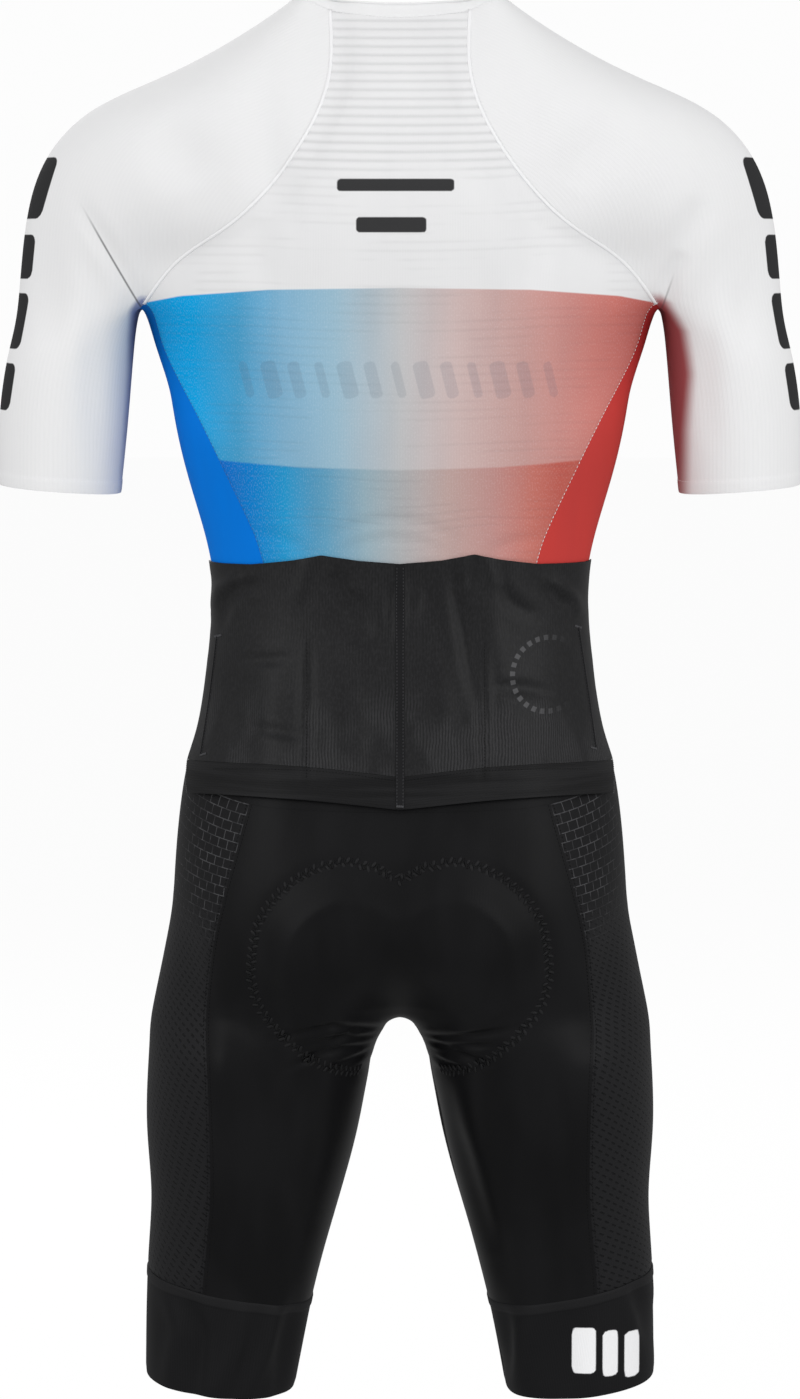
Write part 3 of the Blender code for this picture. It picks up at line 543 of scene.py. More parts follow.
def folds_from(side, table):
    """Folds of the back, 1, or the front, -1. A row has the width, the rise, and then x and z
    of each point of the line, all in millimetres."""
    folds = []
    for row in table:
        width, rise, *line = (value / 1000 for value in row)
        folds.append(Fold(side, width, rise, list(zip(line[::2], line[1::2]))))
    return folds


FOLDS = folds_from(1, [
    # shoulder blades and spine
    (26, -4, 172, -88, 152, -106, 138, -130),
    (17, -3.6, 94, -50, 93, -85, 90, -115, 80, -150),
    (24, -3.4, -150, -88, -132, -106, -118, -132),
    (16, -2, -86, -52, -88, -85, -84, -112),
    (20, -1, 12, -60, 6, -110, 10, -170),
    (15, -2.2, 94, -150, 97, -178, 96, -200),
    (18, 1.4, 52, -120, 60, -170, 74, -215),
    (18, 1.2, -50, -125, -64, -175, -80, -222),
    (16, -1.8, -86, -150, -92, -178, -90, -204),
    # where the arm leaves the trunk
    (8.5, -3, 223, -138.5, 202, -173.5, 182, -211),
    (12, 1.4, 213, -160, 196, -190, 188, -208),
    (13, -2.8, -208, -136, -202, -156, -195, -174),
    (8, -3, -196, -173, -188, -192, -183.8, -213),
    (15, 1.2, -220, -150, -212, -180, -201, -208),
    # upper sleeves
    (14, -1.4, 244, -150, 248, -195, 244, -245),
    (11, 1, 227, -165, 225, -210, 230, -260),
    (13, -1.1, 212, -235, 216, -275, 212, -320),
    (14, -1.3, -242, -148, -246, -190, -240, -238),
    (12, 1, -228, -175, -226, -215, -232, -270),
    (12, -1.2, -211, -225, -213, -270, -220, -315),
    # sides of the trunk and the small of the back
    (12, -1.2, 148, -250, 133, -280, 113, -305),
    (14, -1, -150, -245, -134, -272, -110, -300),
    (16, 0.9, 50, -260, 52, -310, 48, -370),
    (15, -0.9, 90, -250, 84, -310, 72, -370),
    (16, -0.9, -80, -245, -74, -300, -66, -372),
    # arched creases above the two high places of the tail
    (6, -1, 50, -385, 30, -376, 8, -372.5, -14, -374.5, -40, -384),
    (6, -1.1, 56, -378, 34, -364, 8, -359, -16, -362, -48, -378),
    (6.5, -1.1, 60, -384, 80, -374, 106, -369),
    (6.5, -1.1, -56, -384, -80, -376, -102, -373),
    # seat and legs
    (14, -1.8, 101, -665, 90, -690, 64, -701, 40, -704),
    (13, -1.6, -100, -690, -80, -708, -56, -718),
    (17, -3, 114, -700, 106, -735, 108, -775, 116, -830, 123, -900),
    (13, 1.6, 124, -708, 125.5, -760, 127.5, -825),
    (20, 2.2, 48, -750, 59, -815, 70, -865),
    (17, -1.8, 102, -810, 93, -858, 105, -908),
    (12, -1.6, 140, -878, 126, -896, 109, -918),
    (13, -3.6, -27, -748, -35, -793, -47, -833, -67, -890),
    (17, 2.4, -50, -745, -60, -794, -84, -848),
    (18, -1.8, -92, -830, -100, -860, -108, -896),
    (17, 1.4, -118, -750, -122, -800, -120, -850),
    (16, -2.6, -154, -636, -144, -675, -139, -720),
    (15, -1.6, 154, -630, 148, -670, 146, -710),
    # gripper cuffs
    (9, 2.7, 169, -910, 158, -940, 168, -990),
    (9, -4.1, 151, -915, 141, -943, 148, -995),
    (10, 3.4, 113, -918, 116.5, -950, 129, -990),
    (9, 3.7, 87, -920, 97, -955, 114, -998),
    (9, -3.7, 76, -920, 82, -960, 88, -998),
    (13, 3.4, -99, -915, -87, -956, -83, -998),
    (8, -3.1, -73, -923, -78, -960, -76, -992),
    (15, -2.4, -125, -920, -118, -955, -120, -995),
    (8, -3.7, -165, -905, -176, -933, -182, -960),
]) + folds_from(-1, [
    # the front, which is plain, with the same kinds of fold
    (9, -2.6, 214, -148, 196, -180, 182, -212),
    (10, -2.6, -216, -145, -198, -178, -183, -213),
    (16, -1.2, 150, -230, 126, -260, 96, -278),
    (15, -1.2, -148, -236, -122, -262, -92, -276),
    (12, -2.2, 14, -722, 38, -712, 70, -690),
    (12, -2.2, -14, -724, -40, -710, -74, -693),
    (10, -1.8, 18, -756, 44, -743, 80, -729),
    (10, -1.8, -18, -754, -42, -744, -76, -733),
    (20, -1.8, 70, -800, 86, -850, 98, -905),
    (20, -1.8, -72, -808, -88, -854, -100, -900),
])


def lengths_along(points):
    """How far along a line each of its points lies, in metres."""
    return np.concatenate([[0], np.cumsum(np.linalg.norm(np.diff(points, axis=0), axis=1))])


def near_line(points, line):
    """For each point in the plane of the photograph: distance from a line, and the share of
    the line's length at which the nearest place lies."""
    flat = points[:, [0, 2]]
    ends = np.array(line)
    starts = lengths_along(ends)
    best = np.full(len(flat), np.inf)
    share = np.zeros(len(flat))
    for start, end, before in zip(ends, ends[1:], starts):
        length = np.linalg.norm(end - start)
        along = (end - start) / length
        t = np.clip((flat - start) @ along, 0, length)
        distance = np.linalg.norm(flat - start - t[:, None] * along, axis=1)
        closer = distance < best
        best[closer] = distance[closer]
        share[closer] = (before + t[closer]) / starts[-1]
    return best, share


def fold_relief(points, folds):
    """How far the folds raise or sink each point, in metres."""
    relief = np.zeros(len(points))
    for fold in folds:
        xs = [x for x, _ in fold.line]
        zs = [z for _, z in fold.line]
        reach = 3 * fold.width
        close = np.where((points[:, 0] > min(xs) - reach) & (points[:, 0] < max(xs) + reach)
                         & (points[:, 2] > min(zs) - reach) & (points[:, 2] < max(zs) + reach)
                         & ((points[:, 1] - SIDE_Y) * fold.side > 0))[0]
        distance, share = near_line(points[close], fold.line)
        t = distance / fold.width
        fade = np.clip(np.sin(math.pi * np.clip(share, .02, .98)), 0, 1) ** 0.7
        relief[close] += fold.rise * (1 - t * t) * np.exp(-t * t) * fade
    return relief


FOLD_RELIEF = fold_relief(SPOTS, FOLDS)
print("folds:", len(FOLDS), "deepest", round(FOLD_RELIEF.min() * 1000, 2), "mm")

# %% [markdown]
# The seat pad sits inside the shorts and shows from outside as a low rounded raise, with the
# sewn line round it pulled in. Its outline is the stitched zigzag that can be seen from behind.

# %% Raise the cloth over the seat pad
def rounded(line, times=3):
    """The same line with its corners cut off again and again, until it is a smooth curve."""
    points = np.array(line)
    for _ in range(times):
        near = points[:-1] * 0.75 + points[1:] * 0.25
        far = points[:-1] * 0.25 + points[1:] * 0.75
        points = np.vstack([points[:1], np.stack([near, far], 1).reshape(-1, 2)[1:-1], points[-1:]])
    return points


PAD_OUTLINE = rounded([(.000, -.6070), (.016, -.5975), (.046, -.5935), (.076, -.6085),
                       (.098, -.6340), (.1045, -.6650), (.1020, -.6950), (.088, -.7150),
                       (.058, -.7430), (.026, -.7550), (.000, -.7550)])
PAD_RISE, PAD_EDGE, PAD_CREST, PAD_GROOVE = 0.0044, 0.0255, 0.0007, 0.0009


def pad_inside(points):
    """Distance inside the pad's outline, zero outside it, and distance from the outline."""
    mirrored = np.stack([np.abs(points[:, 0]), points[:, 1], points[:, 2]], 1)
    distance, _ = near_line(mirrored, PAD_OUTLINE)
    inside = np.zeros(len(points), bool)
    for (x1, z1), (x2, z2) in zip(PAD_OUTLINE, PAD_OUTLINE[1:]):
        crosses = (x1 > mirrored[:, 0]) != (x2 > mirrored[:, 0])
        edge_z = z1 + (z2 - z1) * (mirrored[:, 0] - x1) / (x2 - x1 if x2 != x1 else 1)
        inside ^= crosses & (mirrored[:, 2] < edge_z)
    return np.where(inside & (points[:, 1] > 0), distance, 0), distance


def pad_relief(points):
    """A bevelled edge that ends in a small crest, then the flat top, fading to the crotch."""
    inside, distance = pad_inside(points)
    share = np.clip(inside / PAD_EDGE, 0, 1)
    crest = np.where(points[:, 0] > 0, 1.0, 0.55) * np.exp(-((inside - PAD_EDGE) / .0045) ** 2)
    fade = np.clip((points[:, 2] + 0.745) / 0.045, 0, 1)
    raised = (PAD_RISE * share ** 1.15 + PAD_CREST * crest) * fade
    groove = np.where(points[:, 1] > SIDE_Y, np.exp(-(distance / .0050) ** 2), 0)
    return raised - PAD_GROOVE * groove


RELIEF = FOLD_RELIEF + pad_relief(SPOTS)
SPOTS += NORMALS * RELIEF[:, None]
folded = bpy.data.meshes.new("folded_skin")
folded.from_pydata(SPOTS.tolist(), [], QUADS.tolist())
NORMALS = read_vectors(folded.vertex_normals, "vector", 3)
SKIN_TREE = BVHTree.FromPolygons([Vector(spot) for spot in SPOTS], QUADS.tolist())
print("skin with folds and pad: highest", round(RELIEF.max() * 1000, 2), "mm")

# %% [markdown]
# ## Cutting the pieces
#
# A pattern piece is the part of the skin between its seams. It becomes a thin closed shell: an
# outer face with the folds, an inner face one cloth thickness below, and a rim. Solidify could do
# this too, but here the edge of each piece is also sunk a little, which draws the soft valley
# that a sewn seam makes. Rows can be split finer, for ribs and hems.

# %% Cut a piece from the skin
CLOTH_THICK, LEAST_THICK = 0.0009, 0.0004
SEAM_DIP = 0.0005
SHARP_ANGLE = math.radians(60)


def unit(vectors):
    return vectors / np.linalg.norm(vectors, axis=1)[:, None]


def split_rows(quads, cloth, points, normals, times, fine):
    """Split the faces of the fine rows into thinner ones, along curves that follow the skin."""
    made_quads, made_cloth = [quads[~fine]], [cloth[~fine]]
    quads, cloth = quads[fine], cloth[fine]
    rails, used = np.unique(np.concatenate([quads[:, [0, 3]], quads[:, [1, 2]]]), axis=0,
                            return_inverse=True)
    left, right = used.reshape(2, -1)
    top, low = points[rails[:, 0]], points[rails[:, 1]]
    n_top, n_low = normals[rails[:, 0]], normals[rails[:, 1]]
    chord = low - top
    t_top = chord - n_top * (chord * n_top).sum(1)[:, None]
    t_low = chord - n_low * (chord * n_low).sum(1)[:, None]
    new_points, new_normals = [points], [normals]
    on_rails = [rails[:, 0]]
    for cut in range(1, times):
        s = cut / times
        new_points.append((2 * s ** 3 - 3 * s ** 2 + 1) * top + (s ** 3 - 2 * s ** 2 + s) * t_top
                          + (3 * s ** 2 - 2 * s ** 3) * low + (s ** 3 - s ** 2) * t_low)
        new_normals.append(unit(n_top * (1 - s) + n_low * s))
        on_rails.append(len(points) + (cut - 1) * len(rails) + np.arange(len(rails)))
    on_rails.append(rails[:, 1])
    for cut in range(times):
        above, below = on_rails[cut], on_rails[cut + 1]
        made_quads.append(np.stack([above[left], above[right], below[right], below[left]], 1))
        made_cloth.append(np.stack([lerp(cloth[:, start], cloth[:, end], share / times)
                                    for start, end, share in ((0, 3, cut), (1, 2, cut),
                                                              (1, 2, cut + 1), (0, 3, cut + 1))], 1))
    return (np.concatenate(made_quads), np.concatenate(made_cloth),
            np.concatenate(new_points), np.concatenate(new_normals))


def quad_mesh(name, points, quads, cloth):
    """A smooth-shaded mesh of four-sided faces with the cloth map in metres."""
    mesh = bpy.data.meshes.new(name)
    mesh.vertices.add(len(points))
    mesh.vertices.foreach_set("co", points.astype(np.float32).ravel())
    mesh.loops.add(len(quads) * 4)
    mesh.loops.foreach_set("vertex_index", quads.astype(np.int32).ravel())
    mesh.polygons.add(len(quads))
    mesh.polygons.foreach_set("loop_start", np.arange(0, len(quads) * 4, 4, dtype=np.int32))
    mesh.update(calc_edges=True)
    layer = mesh.uv_layers.new(name="cloth")
    layer.uv.foreach_set("vector", cloth.astype(np.float32).ravel())
    mesh.validate()
    mesh.shade_smooth()
    return mesh


def shell(name, quads, cloth, points, normals, outer, inner, dip=SEAM_DIP):
    """A closed thin shell from an open surface, with its faces turned outwards."""
    corner = points[quads]
    facing = np.cross(corner[:, 2] - corner[:, 0], corner[:, 3] - corner[:, 1])
    inwards = (facing * normals[quads[:, 0]]).sum(1) < 0
    quads = np.where(inwards[:, None], quads[:, ::-1], quads)
    cloth = np.where(inwards[:, None, None], cloth[:, ::-1], cloth)
    edges = np.concatenate([quads[:, [k, (k + 1) % 4]] for k in range(4)])
    edge_cloth = np.concatenate([cloth[:, [k, (k + 1) % 4]] for k in range(4)])
    code = edges[:, 0].astype(np.int64) * len(points) + edges[:, 1]
    back_code = edges[:, 1].astype(np.int64) * len(points) + edges[:, 0]
    rim = ~np.isin(code, back_code)
    border = np.unique(edges[rim])
    over = np.asarray(outer, float) * np.ones(len(points))
    over[border] -= dip
    under = np.minimum(np.asarray(inner, float) * np.ones(len(points)), over - LEAST_THICK)
    top = points + normals * over[:, None]
    bottom = points + normals * under[:, None]
    a, b = edges[rim][:, 0], edges[rim][:, 1]
    rims = np.stack([b, a, a + len(points), b + len(points)], 1)
    rim_cloth = edge_cloth[rim][:, [1, 0, 0, 1]]
    all_quads = np.concatenate([quads, quads[:, ::-1] + len(points), rims])
    all_cloth = np.concatenate([cloth, cloth[:, ::-1], rim_cloth])
    mesh = quad_mesh(name, np.concatenate([top, bottom]), all_quads, all_cloth)
    mesh.set_sharp_from_angle(angle=SHARP_ANGLE)
    return mesh


def region(zones, above, below, side=0):
    """Which faces lie in some zones and between two rows, on side 1 or -1 or on both."""
    mask = np.isin(QUAD_ZONE, zones) & (QUAD_ROW > above) & (QUAD_ROW < below)
    return mask & (QUAD_SIDE == side) if side else mask


def pattern_piece(mask):
    """The masked faces of the skin, with their points renumbered."""
    home, local = np.unique(QUADS[mask], return_inverse=True)
    quads, cloth, turn = local.reshape(-1, 4), CLOTH[mask], MIRRORED[mask]
    quads[turn], cloth[turn] = quads[turn][:, [0, 3, 2, 1]], cloth[turn][:, [0, 3, 2, 1]]
    return quads, cloth, SPOTS[home], NORMALS[home]


def put(name, mesh, finish):
    """Add a finished mesh to the scene as a piece that rides on the suit."""
    thing = bpy.data.objects.new(name, mesh)
    mesh.materials.append(finish)
    bpy.context.scene.collection.objects.link(thing)
    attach(thing, "suit")
    return thing


def mark_points(mesh, name, values):
    """Store a number at every point of a mesh, for its finish to read."""
    layer = mesh.attributes.new(name, "FLOAT", "POINT")
    layer.data.foreach_set("value", np.asarray(values, np.float32))


print("cloth", CLOTH_THICK * 1000, "mm thick, seams sunk", SEAM_DIP * 1000, "mm")

# %% [markdown]
# ## A short way to write finishes
#
# Every finish is a Principled shader with a few texture nodes in front of it. Adding nodes one at
# a time fills pages, so two small classes help. A finish makes a node, sets its values or links
# and hands back its output in one call, and plain arithmetic on such an output adds the nodes that
# do it. Heights are in metres, so a bump has the true depth of the stitch or rib.

# %% Write the helpers for finishes
def srgb(red, green, blue):
    """A screen colour, 0 to 255, as the linear colour that a shader takes."""
    def linear(value):
        value /= 255
        return value / 12.92 if value <= 0.04045 else ((value + 0.055) / 1.055) ** 2.4
    return (linear(red), linear(green), linear(blue), 1)


def scaled(colour, share):
    return tuple(share * part for part in colour[:3]) + (1,)


class Wire:
    """The output of a node. Arithmetic on it makes the nodes that do the arithmetic."""

    def __init__(self, finish, socket):
        self.finish = finish
        self.socket = socket

    def __add__(self, other):
        return self.finish.math("ADD", self, other)

    def __sub__(self, other):
        return self.finish.math("SUBTRACT", self, other)

    def __rsub__(self, other):
        return self.finish.math("SUBTRACT", other, self)

    def __mul__(self, other):
        return self.finish.math("MULTIPLY", self, other)

    def __abs__(self):
        return self.finish.math("ABSOLUTE", self)

    def ease(self, start, end):
        """0 before start, 1 after end, and a soft step between."""
        return self.finish.node("MapRange", self, start, end, 0.0, 1.0,
                                interpolation_type="SMOOTHSTEP")

    def wave(self, pitch):
        """A ridge from 0 to 1 every pitch metres."""
        return self.finish.math("SINE", self * (2 * math.pi / pitch)) * 0.5 + 0.5


class Finish:
    """One procedural finish: a Principled shader and short calls for the nodes that feed it."""

    def __init__(self, name, **sockets):
        self.material = bpy.data.materials.new(name)
        self.material.use_nodes = True
        self.tree = self.material.node_tree
        self.shader = self.tree.nodes["Principled BSDF"]
        for socket, value in sockets.items():
            self.shader.inputs[socket.replace("_", " ")].default_value = value

    def node(self, kind, *inputs, out=0, **settings):
        made = self.tree.nodes.new("ShaderNode" + kind)
        for name, value in settings.items():
            setattr(made, name, value)
        for socket, value in zip(made.inputs, inputs):
            if isinstance(value, Wire):
                self.tree.links.new(value.socket, socket)
            elif value is not None:
                socket.default_value = value
        return Wire(self, made.outputs[out])

    def math(self, operation, first, second=0.0):
        return self.node("Math", first, second, operation=operation)

    def noise(self, scale, stretch=None, where=None, detail=2.0):
        """Clouds from 0 to 1, laid out by place or by another map, which may be stretched."""
        where = where or self.place()
        if stretch:
            where = self.node("Mapping", where, None, None, stretch)
        return self.node("TexNoise", where, None, scale, detail, 0.5)

    def mix(self, share, first, second):
        return self.node("MixRGB", share, first, second)

    def ramp(self, value, stops):
        made = self.tree.nodes.new("ShaderNodeValToRGB")
        while len(made.color_ramp.elements) < len(stops):
            made.color_ramp.elements.new(0.5)
        for element, (place, colour) in zip(made.color_ramp.elements, stops):
            element.position = place
            element.color = colour
        self.tree.links.new(value.socket, made.inputs[0])
        return Wire(self, made.outputs[0])

    def cloth(self):
        """The map of the cloth, and across and down it in metres."""
        uv = self.node("UVMap", uv_map="cloth")
        return uv, self.node("SeparateXYZ", uv, out=0), self.node("SeparateXYZ", uv, out=1)

    def place(self):
        return self.node("TexCoord", out=3)

    def axis(self, number):
        """The place's x, y or z for 0, 1 or 2."""
        return self.node("SeparateXYZ", self.place(), out=number)

    def number(self, name):
        return self.node("Attribute", attribute_name=name, out=2)

    def edge(self, name, softness=.0005):
        """0 outside and 1 inside a printed shape, from the distance stored on the cloth."""
        return self.number(name).ease(-softness, softness)

    def set(self, socket, value):
        self.tree.links.new(value.socket, self.shader.inputs[socket])

    def done(self, colour, height=None):
        """Link the colour and any height, and hand back the material."""
        self.set("Base Color", colour)
        if height is not None:
            made = self.tree.nodes.new("ShaderNodeBump")
            made.inputs["Strength"].default_value = 1.0
            made.inputs["Distance"].default_value = 1.0
            self.tree.links.new(height.socket, made.inputs["Height"])
            self.tree.links.new(made.outputs[0], self.shader.inputs["Normal"])
        return self.material


print("finishes are written with", len([n for n in dir(Finish) if n[0] != "_"]), "short calls")

# %% [markdown]
# ## Where the print lies
#
# The back is printed: white above, then a band that fades from blue on one side over grey to red
# on the other, and darkens below the middle. The edges of the band are crisp curves. Each point
# of the cloth stores how far below the curve it lies, and the finish turns that number into a
# sharp edge. That keeps the edge clean however coarse the mesh is.

# %% Write the print's edges as curves
BAND_TOP = [(.000, -.1990), (.090, -.2003), (.152, -.2049), (.180, -.2102), (.200, -.2130)]
TONE_LINE = [(.000, -.3245), (.069, -.3229), (.126, -.3190), (.160, -.3150)]
RIB_PITCH, RIB_RISE, RIB_TOP_Z, RIB_END_Z = 0.0061, 0.00035, -0.018, -0.1240


def below_curve(points, curve):
    """Metres below a curve of the table, which is the same on both sides."""
    xs, zs = np.array(curve).T
    return np.interp(np.abs(points[:, 0]), xs, zs) - points[:, 2]


def rib_height(points):
    """A height that is level along each rib: ribs sag a little in the middle, and low on the
    back they arch over the two puckers of the tail."""
    x, z = points[:, 0], points[:, 2]
    sag = 0.0036 * (1 - np.clip(np.abs(x) / 0.10, 0, 1) ** 2)
    low = np.clip((-0.290 - z) / 0.10, 0, 1)
    arch = 0.0060 * low * np.exp(-((np.abs(x) - 0.055) / 0.030) ** 2)
    return z + sag - arch


def ribbing(points):
    """Raise of the knitted ribs, strong at the top of the back and gone below."""
    level = rib_height(points)
    crest = 0.5 + 0.5 * np.cos(2 * math.pi * (level - RIB_TOP_Z + RIB_PITCH / 2) / RIB_PITCH)
    fade = np.clip((RIB_TOP_Z - level) / 0.006, 0, 1) * np.clip((level - RIB_END_Z) / 0.020, 0, 1)
    return RIB_RISE * fade * (crest ** 0.6 - 0.4)


# %% [markdown]
# Blocks and bars printed on the cloth are plain rounded shapes. A point stores its distance
# inside the nearest one. They have the places and strength of colour of the print, and no
# lettering.

# %% Write the printed blocks
Block = namedtuple("Block", "x z half_x half_z turn")


def inside_blocks(across, height, blocks, corner):
    """Metres inside the nearest rounded block, negative outside, on a flat pattern."""
    best = np.full(len(across), -1.0)
    for block in blocks:
        turn = math.radians(block.turn)
        u = (across - block.x) * math.cos(turn) + (height - block.z) * math.sin(turn)
        v = (height - block.z) * math.cos(turn) - (across - block.x) * math.sin(turn)
        du = np.abs(u) - block.half_x + corner
        dv = np.abs(v) - block.half_z + corner
        outside = np.hypot(np.maximum(du, 0), np.maximum(dv, 0))
        outside += np.minimum(np.maximum(du, dv), 0)
        best = np.maximum(best, corner - outside)
    return best


ARM_BLOCKS = [Block(.0000, -.1300, .0320, .0215, 0), Block(.0000, -.1780, .0310, .0155, 0),
              Block(.0000, -.2230, .0300, .0195, 0), Block(.0000, -.2690, .0290, .0165, 0)]
BACK_BLOCKS = [Block(.0030, -.1290, .0400, .0042, 0), Block(.0060, -.1560, .0240, .0052, 0)]
BAND_BLOCKS = [Block(-.1040 + .0175 * n, -.2620, .0030 + .0012 * (n % 3), .0130, -14)
               for n in range(13)]
CUFF_BLOCKS = [Block(-.1310, -.9530, .0085, .0165, 0), Block(-.1500, -.9560, .0055, .0165, 0),
               Block(-.1660, -.9590, .0055, .0165, 0)]
print("printed blocks:", len(ARM_BLOCKS * 2 + BACK_BLOCKS + BAND_BLOCKS + CUFF_BLOCKS))

# %% [markdown]
# ## Finishes of the shirt
#
# The shirt is a fine white knit. Its wales, the upright lines of stitches, are about a millimetre
# apart and only just show. The print lies in the yarn, so it changes the colour and not the
# surface. A heathered yarn has small light specks, and soft upright streaks are painted shade.

# %% Make the shirt's finishes
WHITE = (0.715, 0.715, 0.720, 1)


def fade_stops(table):
    """Places and colours for a fade of the print. The colours are screen colours, and a little
    darker than the print looks, because the room adds light to them. Besides the print, they
    hold some painted light and shade of the soft folds across the band."""
    return [(place, scaled(srgb(*colour), 0.87)) for place, *colour in table]


UPPER_FADE_AND_SHADE = fade_stops([(.06, 196, 100, 92), (.16, 208, 128, 119), (.30, 200, 160, 155),
                         (.40, 206, 183, 180), (.50, 193, 194, 196), (.61, 155, 188, 206),
                         (.70, 130, 180, 210), (.78, 70, 160, 206), (.86, 0, 164, 228),
                         (.93, 0, 158, 226)])
LOWER_FADE_AND_SHADE = fade_stops([(.22, 195, 96, 84), (.27, 198, 118, 107), (.34, 191, 144, 139),
                         (.42, 191, 165, 160), (.50, 175, 177, 179), (.56, 150, 176, 188),
                         (.63, 96, 160, 193), (.70, 34, 152, 207), (.76, 0, 130, 210),
                         (.82, 0, 109, 208)])


def knit_height(across, down, depth=0.00004):
    """Wales about 1.1 mm apart, with the small beads of the courses between them."""
    return (across.wave(0.0011) + down.wave(0.0009) * 0.35) * depth


def shirt_finish(name, banded=False, ribbed=False):
    finish = Finish(name, Roughness=0.85, Specular_IOR_Level=0.04)
    uv, across, down = finish.cloth()
    # painted shade: soft upright darker streaks over the white, as of shallow folds
    shade_streaks = finish.noise(1.0, (38.0, 6.0, 5.0))
    colour = finish.mix(shade_streaks.ease(.35, .7) * .07, WHITE, (.50, .50, .52, 1))
    height = knit_height(across, down)
    if ribbed:
        # painted shade: the white of the ribbed back is a little darker all over, as the shade of
        # its ribs
        colour = finish.mix(.06, colour, (.40, .40, .42, 1))
    if banded:
        share = finish.axis(0) * 2.5 + 0.5
        fade = finish.mix(finish.edge("tone", .0009), finish.ramp(share, UPPER_FADE_AND_SHADE),
                          finish.ramp(share, LOWER_FADE_AND_SHADE))
        heather = finish.noise(1300.0, (1.0, .45, 1.0), uv)
        fade = finish.mix(heather.ease(.48, .70) * .08, fade, (.86, .86, .88, 1))
        # painted shade: soft upright darker streaks over the band, as of shallow folds
        upright = finish.noise(1.0, (36.0, 10.0, 7.0))
        fade = finish.mix(upright.ease(.40, .75) * .08, fade, (.10, .12, .15, 1))
        fade = finish.mix(finish.edge("bars") * .19, fade, (.10, .13, .18, 1))
        colour = finish.mix(finish.edge("band", .0006), colour, fade)
    if ribbed:
        # painted shade: the valleys between the ribs are darkened, most high on the back and in
        # patches
        valley = finish.math("POWER", 1.0 - finish.number("rib").wave(RIB_PITCH), 3.0)
        patchy = finish.noise(1.0, (14.0, 14.0, 60.0))
        strong = finish.axis(2).ease(-.128, -.104) + patchy.ease(.44, .60) * .42
        shade = valley * finish.math("MINIMUM", strong, 1.0) * .14
        colour = finish.mix(shade, colour, (.06, .06, .07, 1))
        height = height + valley * strong * -.00022
    if banded:
        colour = finish.mix(finish.edge("marks") * .96, colour, (.008, .008, .009, 1))
    return finish.done(colour, height)


BACK_CLOTH = shirt_finish("printed_ribbed_knit", banded=True, ribbed=True)
FRONT_CLOTH = shirt_finish("printed_knit", banded=True)
COLLAR_CLOTH = shirt_finish("white_knit")


def crease_shadow_line(finish, ends, fade_from):
    """Painted shadow: a thin dark line at the bottom of the sharp fold behind the arm, faint at
    its upper end.
    """
    (x1, z1), (x2, z2) = ends
    length = math.hypot(x2 - x1, z2 - z1)
    right, up = (x2 - x1) / length, (z2 - z1) / length
    x, y, z = (finish.axis(number) for number in range(3))
    along = (x * right + z * up - (x1 * right + z1 * up)) * (1 / length)
    off = abs(x * -up + z * right - (z1 * right - x1 * up))
    thin = off.ease(.0011, .0002) * y.ease(.005, .010)
    return thin * (along.ease(fade_from, fade_from + .45) * along.ease(1.06, 1.00))


def sleeve_finish(name, inner_print_and_shade, softness, strength, crease, fade_from, crease_shadow_strength):
    """White knit with dark printed blocks outside, and a coloured print on the inner arm whose
    colour is darkened with painted shade from under the arm. A painted shadow line lies in the
    crease behind the arm.
    """
    finish = Finish(name, Roughness=0.82, Specular_IOR_Level=0.04)
    _, across, down = finish.cloth()
    lines = across.wave(0.0032)
    uneven = finish.noise(1.0, (60.0, 60.0, 3.0))
    colour = finish.mix(lines * uneven * .12, WHITE, (.55, .55, .57, 1))
    # print and painted shade: the inner arm's print is darker than the print, as shade under the arm
    colour = finish.mix(finish.edge("inner", softness) * strength, colour, inner_print_and_shade)
    # painted shadow: a thin dark line along the crease behind the arm
    dark = crease_shadow_line(finish, crease, fade_from) * crease_shadow_strength
    colour = finish.mix(dark, colour, (.06, .06, .065, 1))
    colour = finish.mix(finish.edge("marks") * .97, colour, (.006, .006, .007, 1))
    return finish.done(colour, knit_height(across, down) + lines * .00005)


# The inner arm's colours are the underarm print darkened with painted shade.
SLEEVE_CLOTH = {
    1: sleeve_finish("left_sleeve_knit", srgb(84, 100, 152), .0028, .80,
                     ((.2230, -.1385), (.1820, -.2110)), 0.0, .72),
    -1: sleeve_finish("right_sleeve_knit", srgb(140, 34, 40), .0052, .92,
                      ((-.1960, -.1730), (-.1832, -.2130)), .35, .40)}


def side_finish(name, upper, lower):
    """The coloured panel under the arm, a little darker towards the top."""
    finish = Finish(name, Roughness=0.8, Specular_IOR_Level=0.04)
    _, across, down = finish.cloth()
    colour = finish.mix(finish.axis(2).ease(-.30, -.22), lower, upper)
    colour = finish.mix(finish.noise(1.0, (60.0, 30.0, 5.0)) * .14, colour, (.02, .03, .05, 1))
    return finish.done(colour, knit_height(across, down))


SIDE_CLOTH = {1: side_finish("blue_knit", srgb(2, 100, 180), srgb(1, 114, 212)),
              -1: side_finish("red_knit", srgb(170, 46, 45), srgb(190, 62, 57))}
print("shirt finishes:", 3 + len(SLEEVE_CLOTH) + len(SIDE_CLOTH))

# %% [markdown]
# ## Finishes of the shorts
#
# The shorts are black, and black cloth is read only by its surface. The lycra is smooth with a
# soft shine, the tail is a matt knit with upright ribs, and the side panels are embossed: lines
# like laid bricks near the top and rows of small dimples lower down.

# %% Make the shorts' finishes
def lycra_finish(name, base, shine):
    finish = Finish(name, Roughness=shine, Specular_IOR_Level=0.055)
    _, across, down = finish.cloth()
    cloud = finish.noise(1.0, (24.0, 24.0, 8.0))
    return finish.done(finish.mix(cloud.ease(.3, .7), base, scaled(base, 1.5)),
                       knit_height(across, down, 0.00002))


RING_AT, RING_RADIUS, RING_HALF_WIDTH, RING_DASHES = (-.1040, -.4690), .0255, .0018, 26


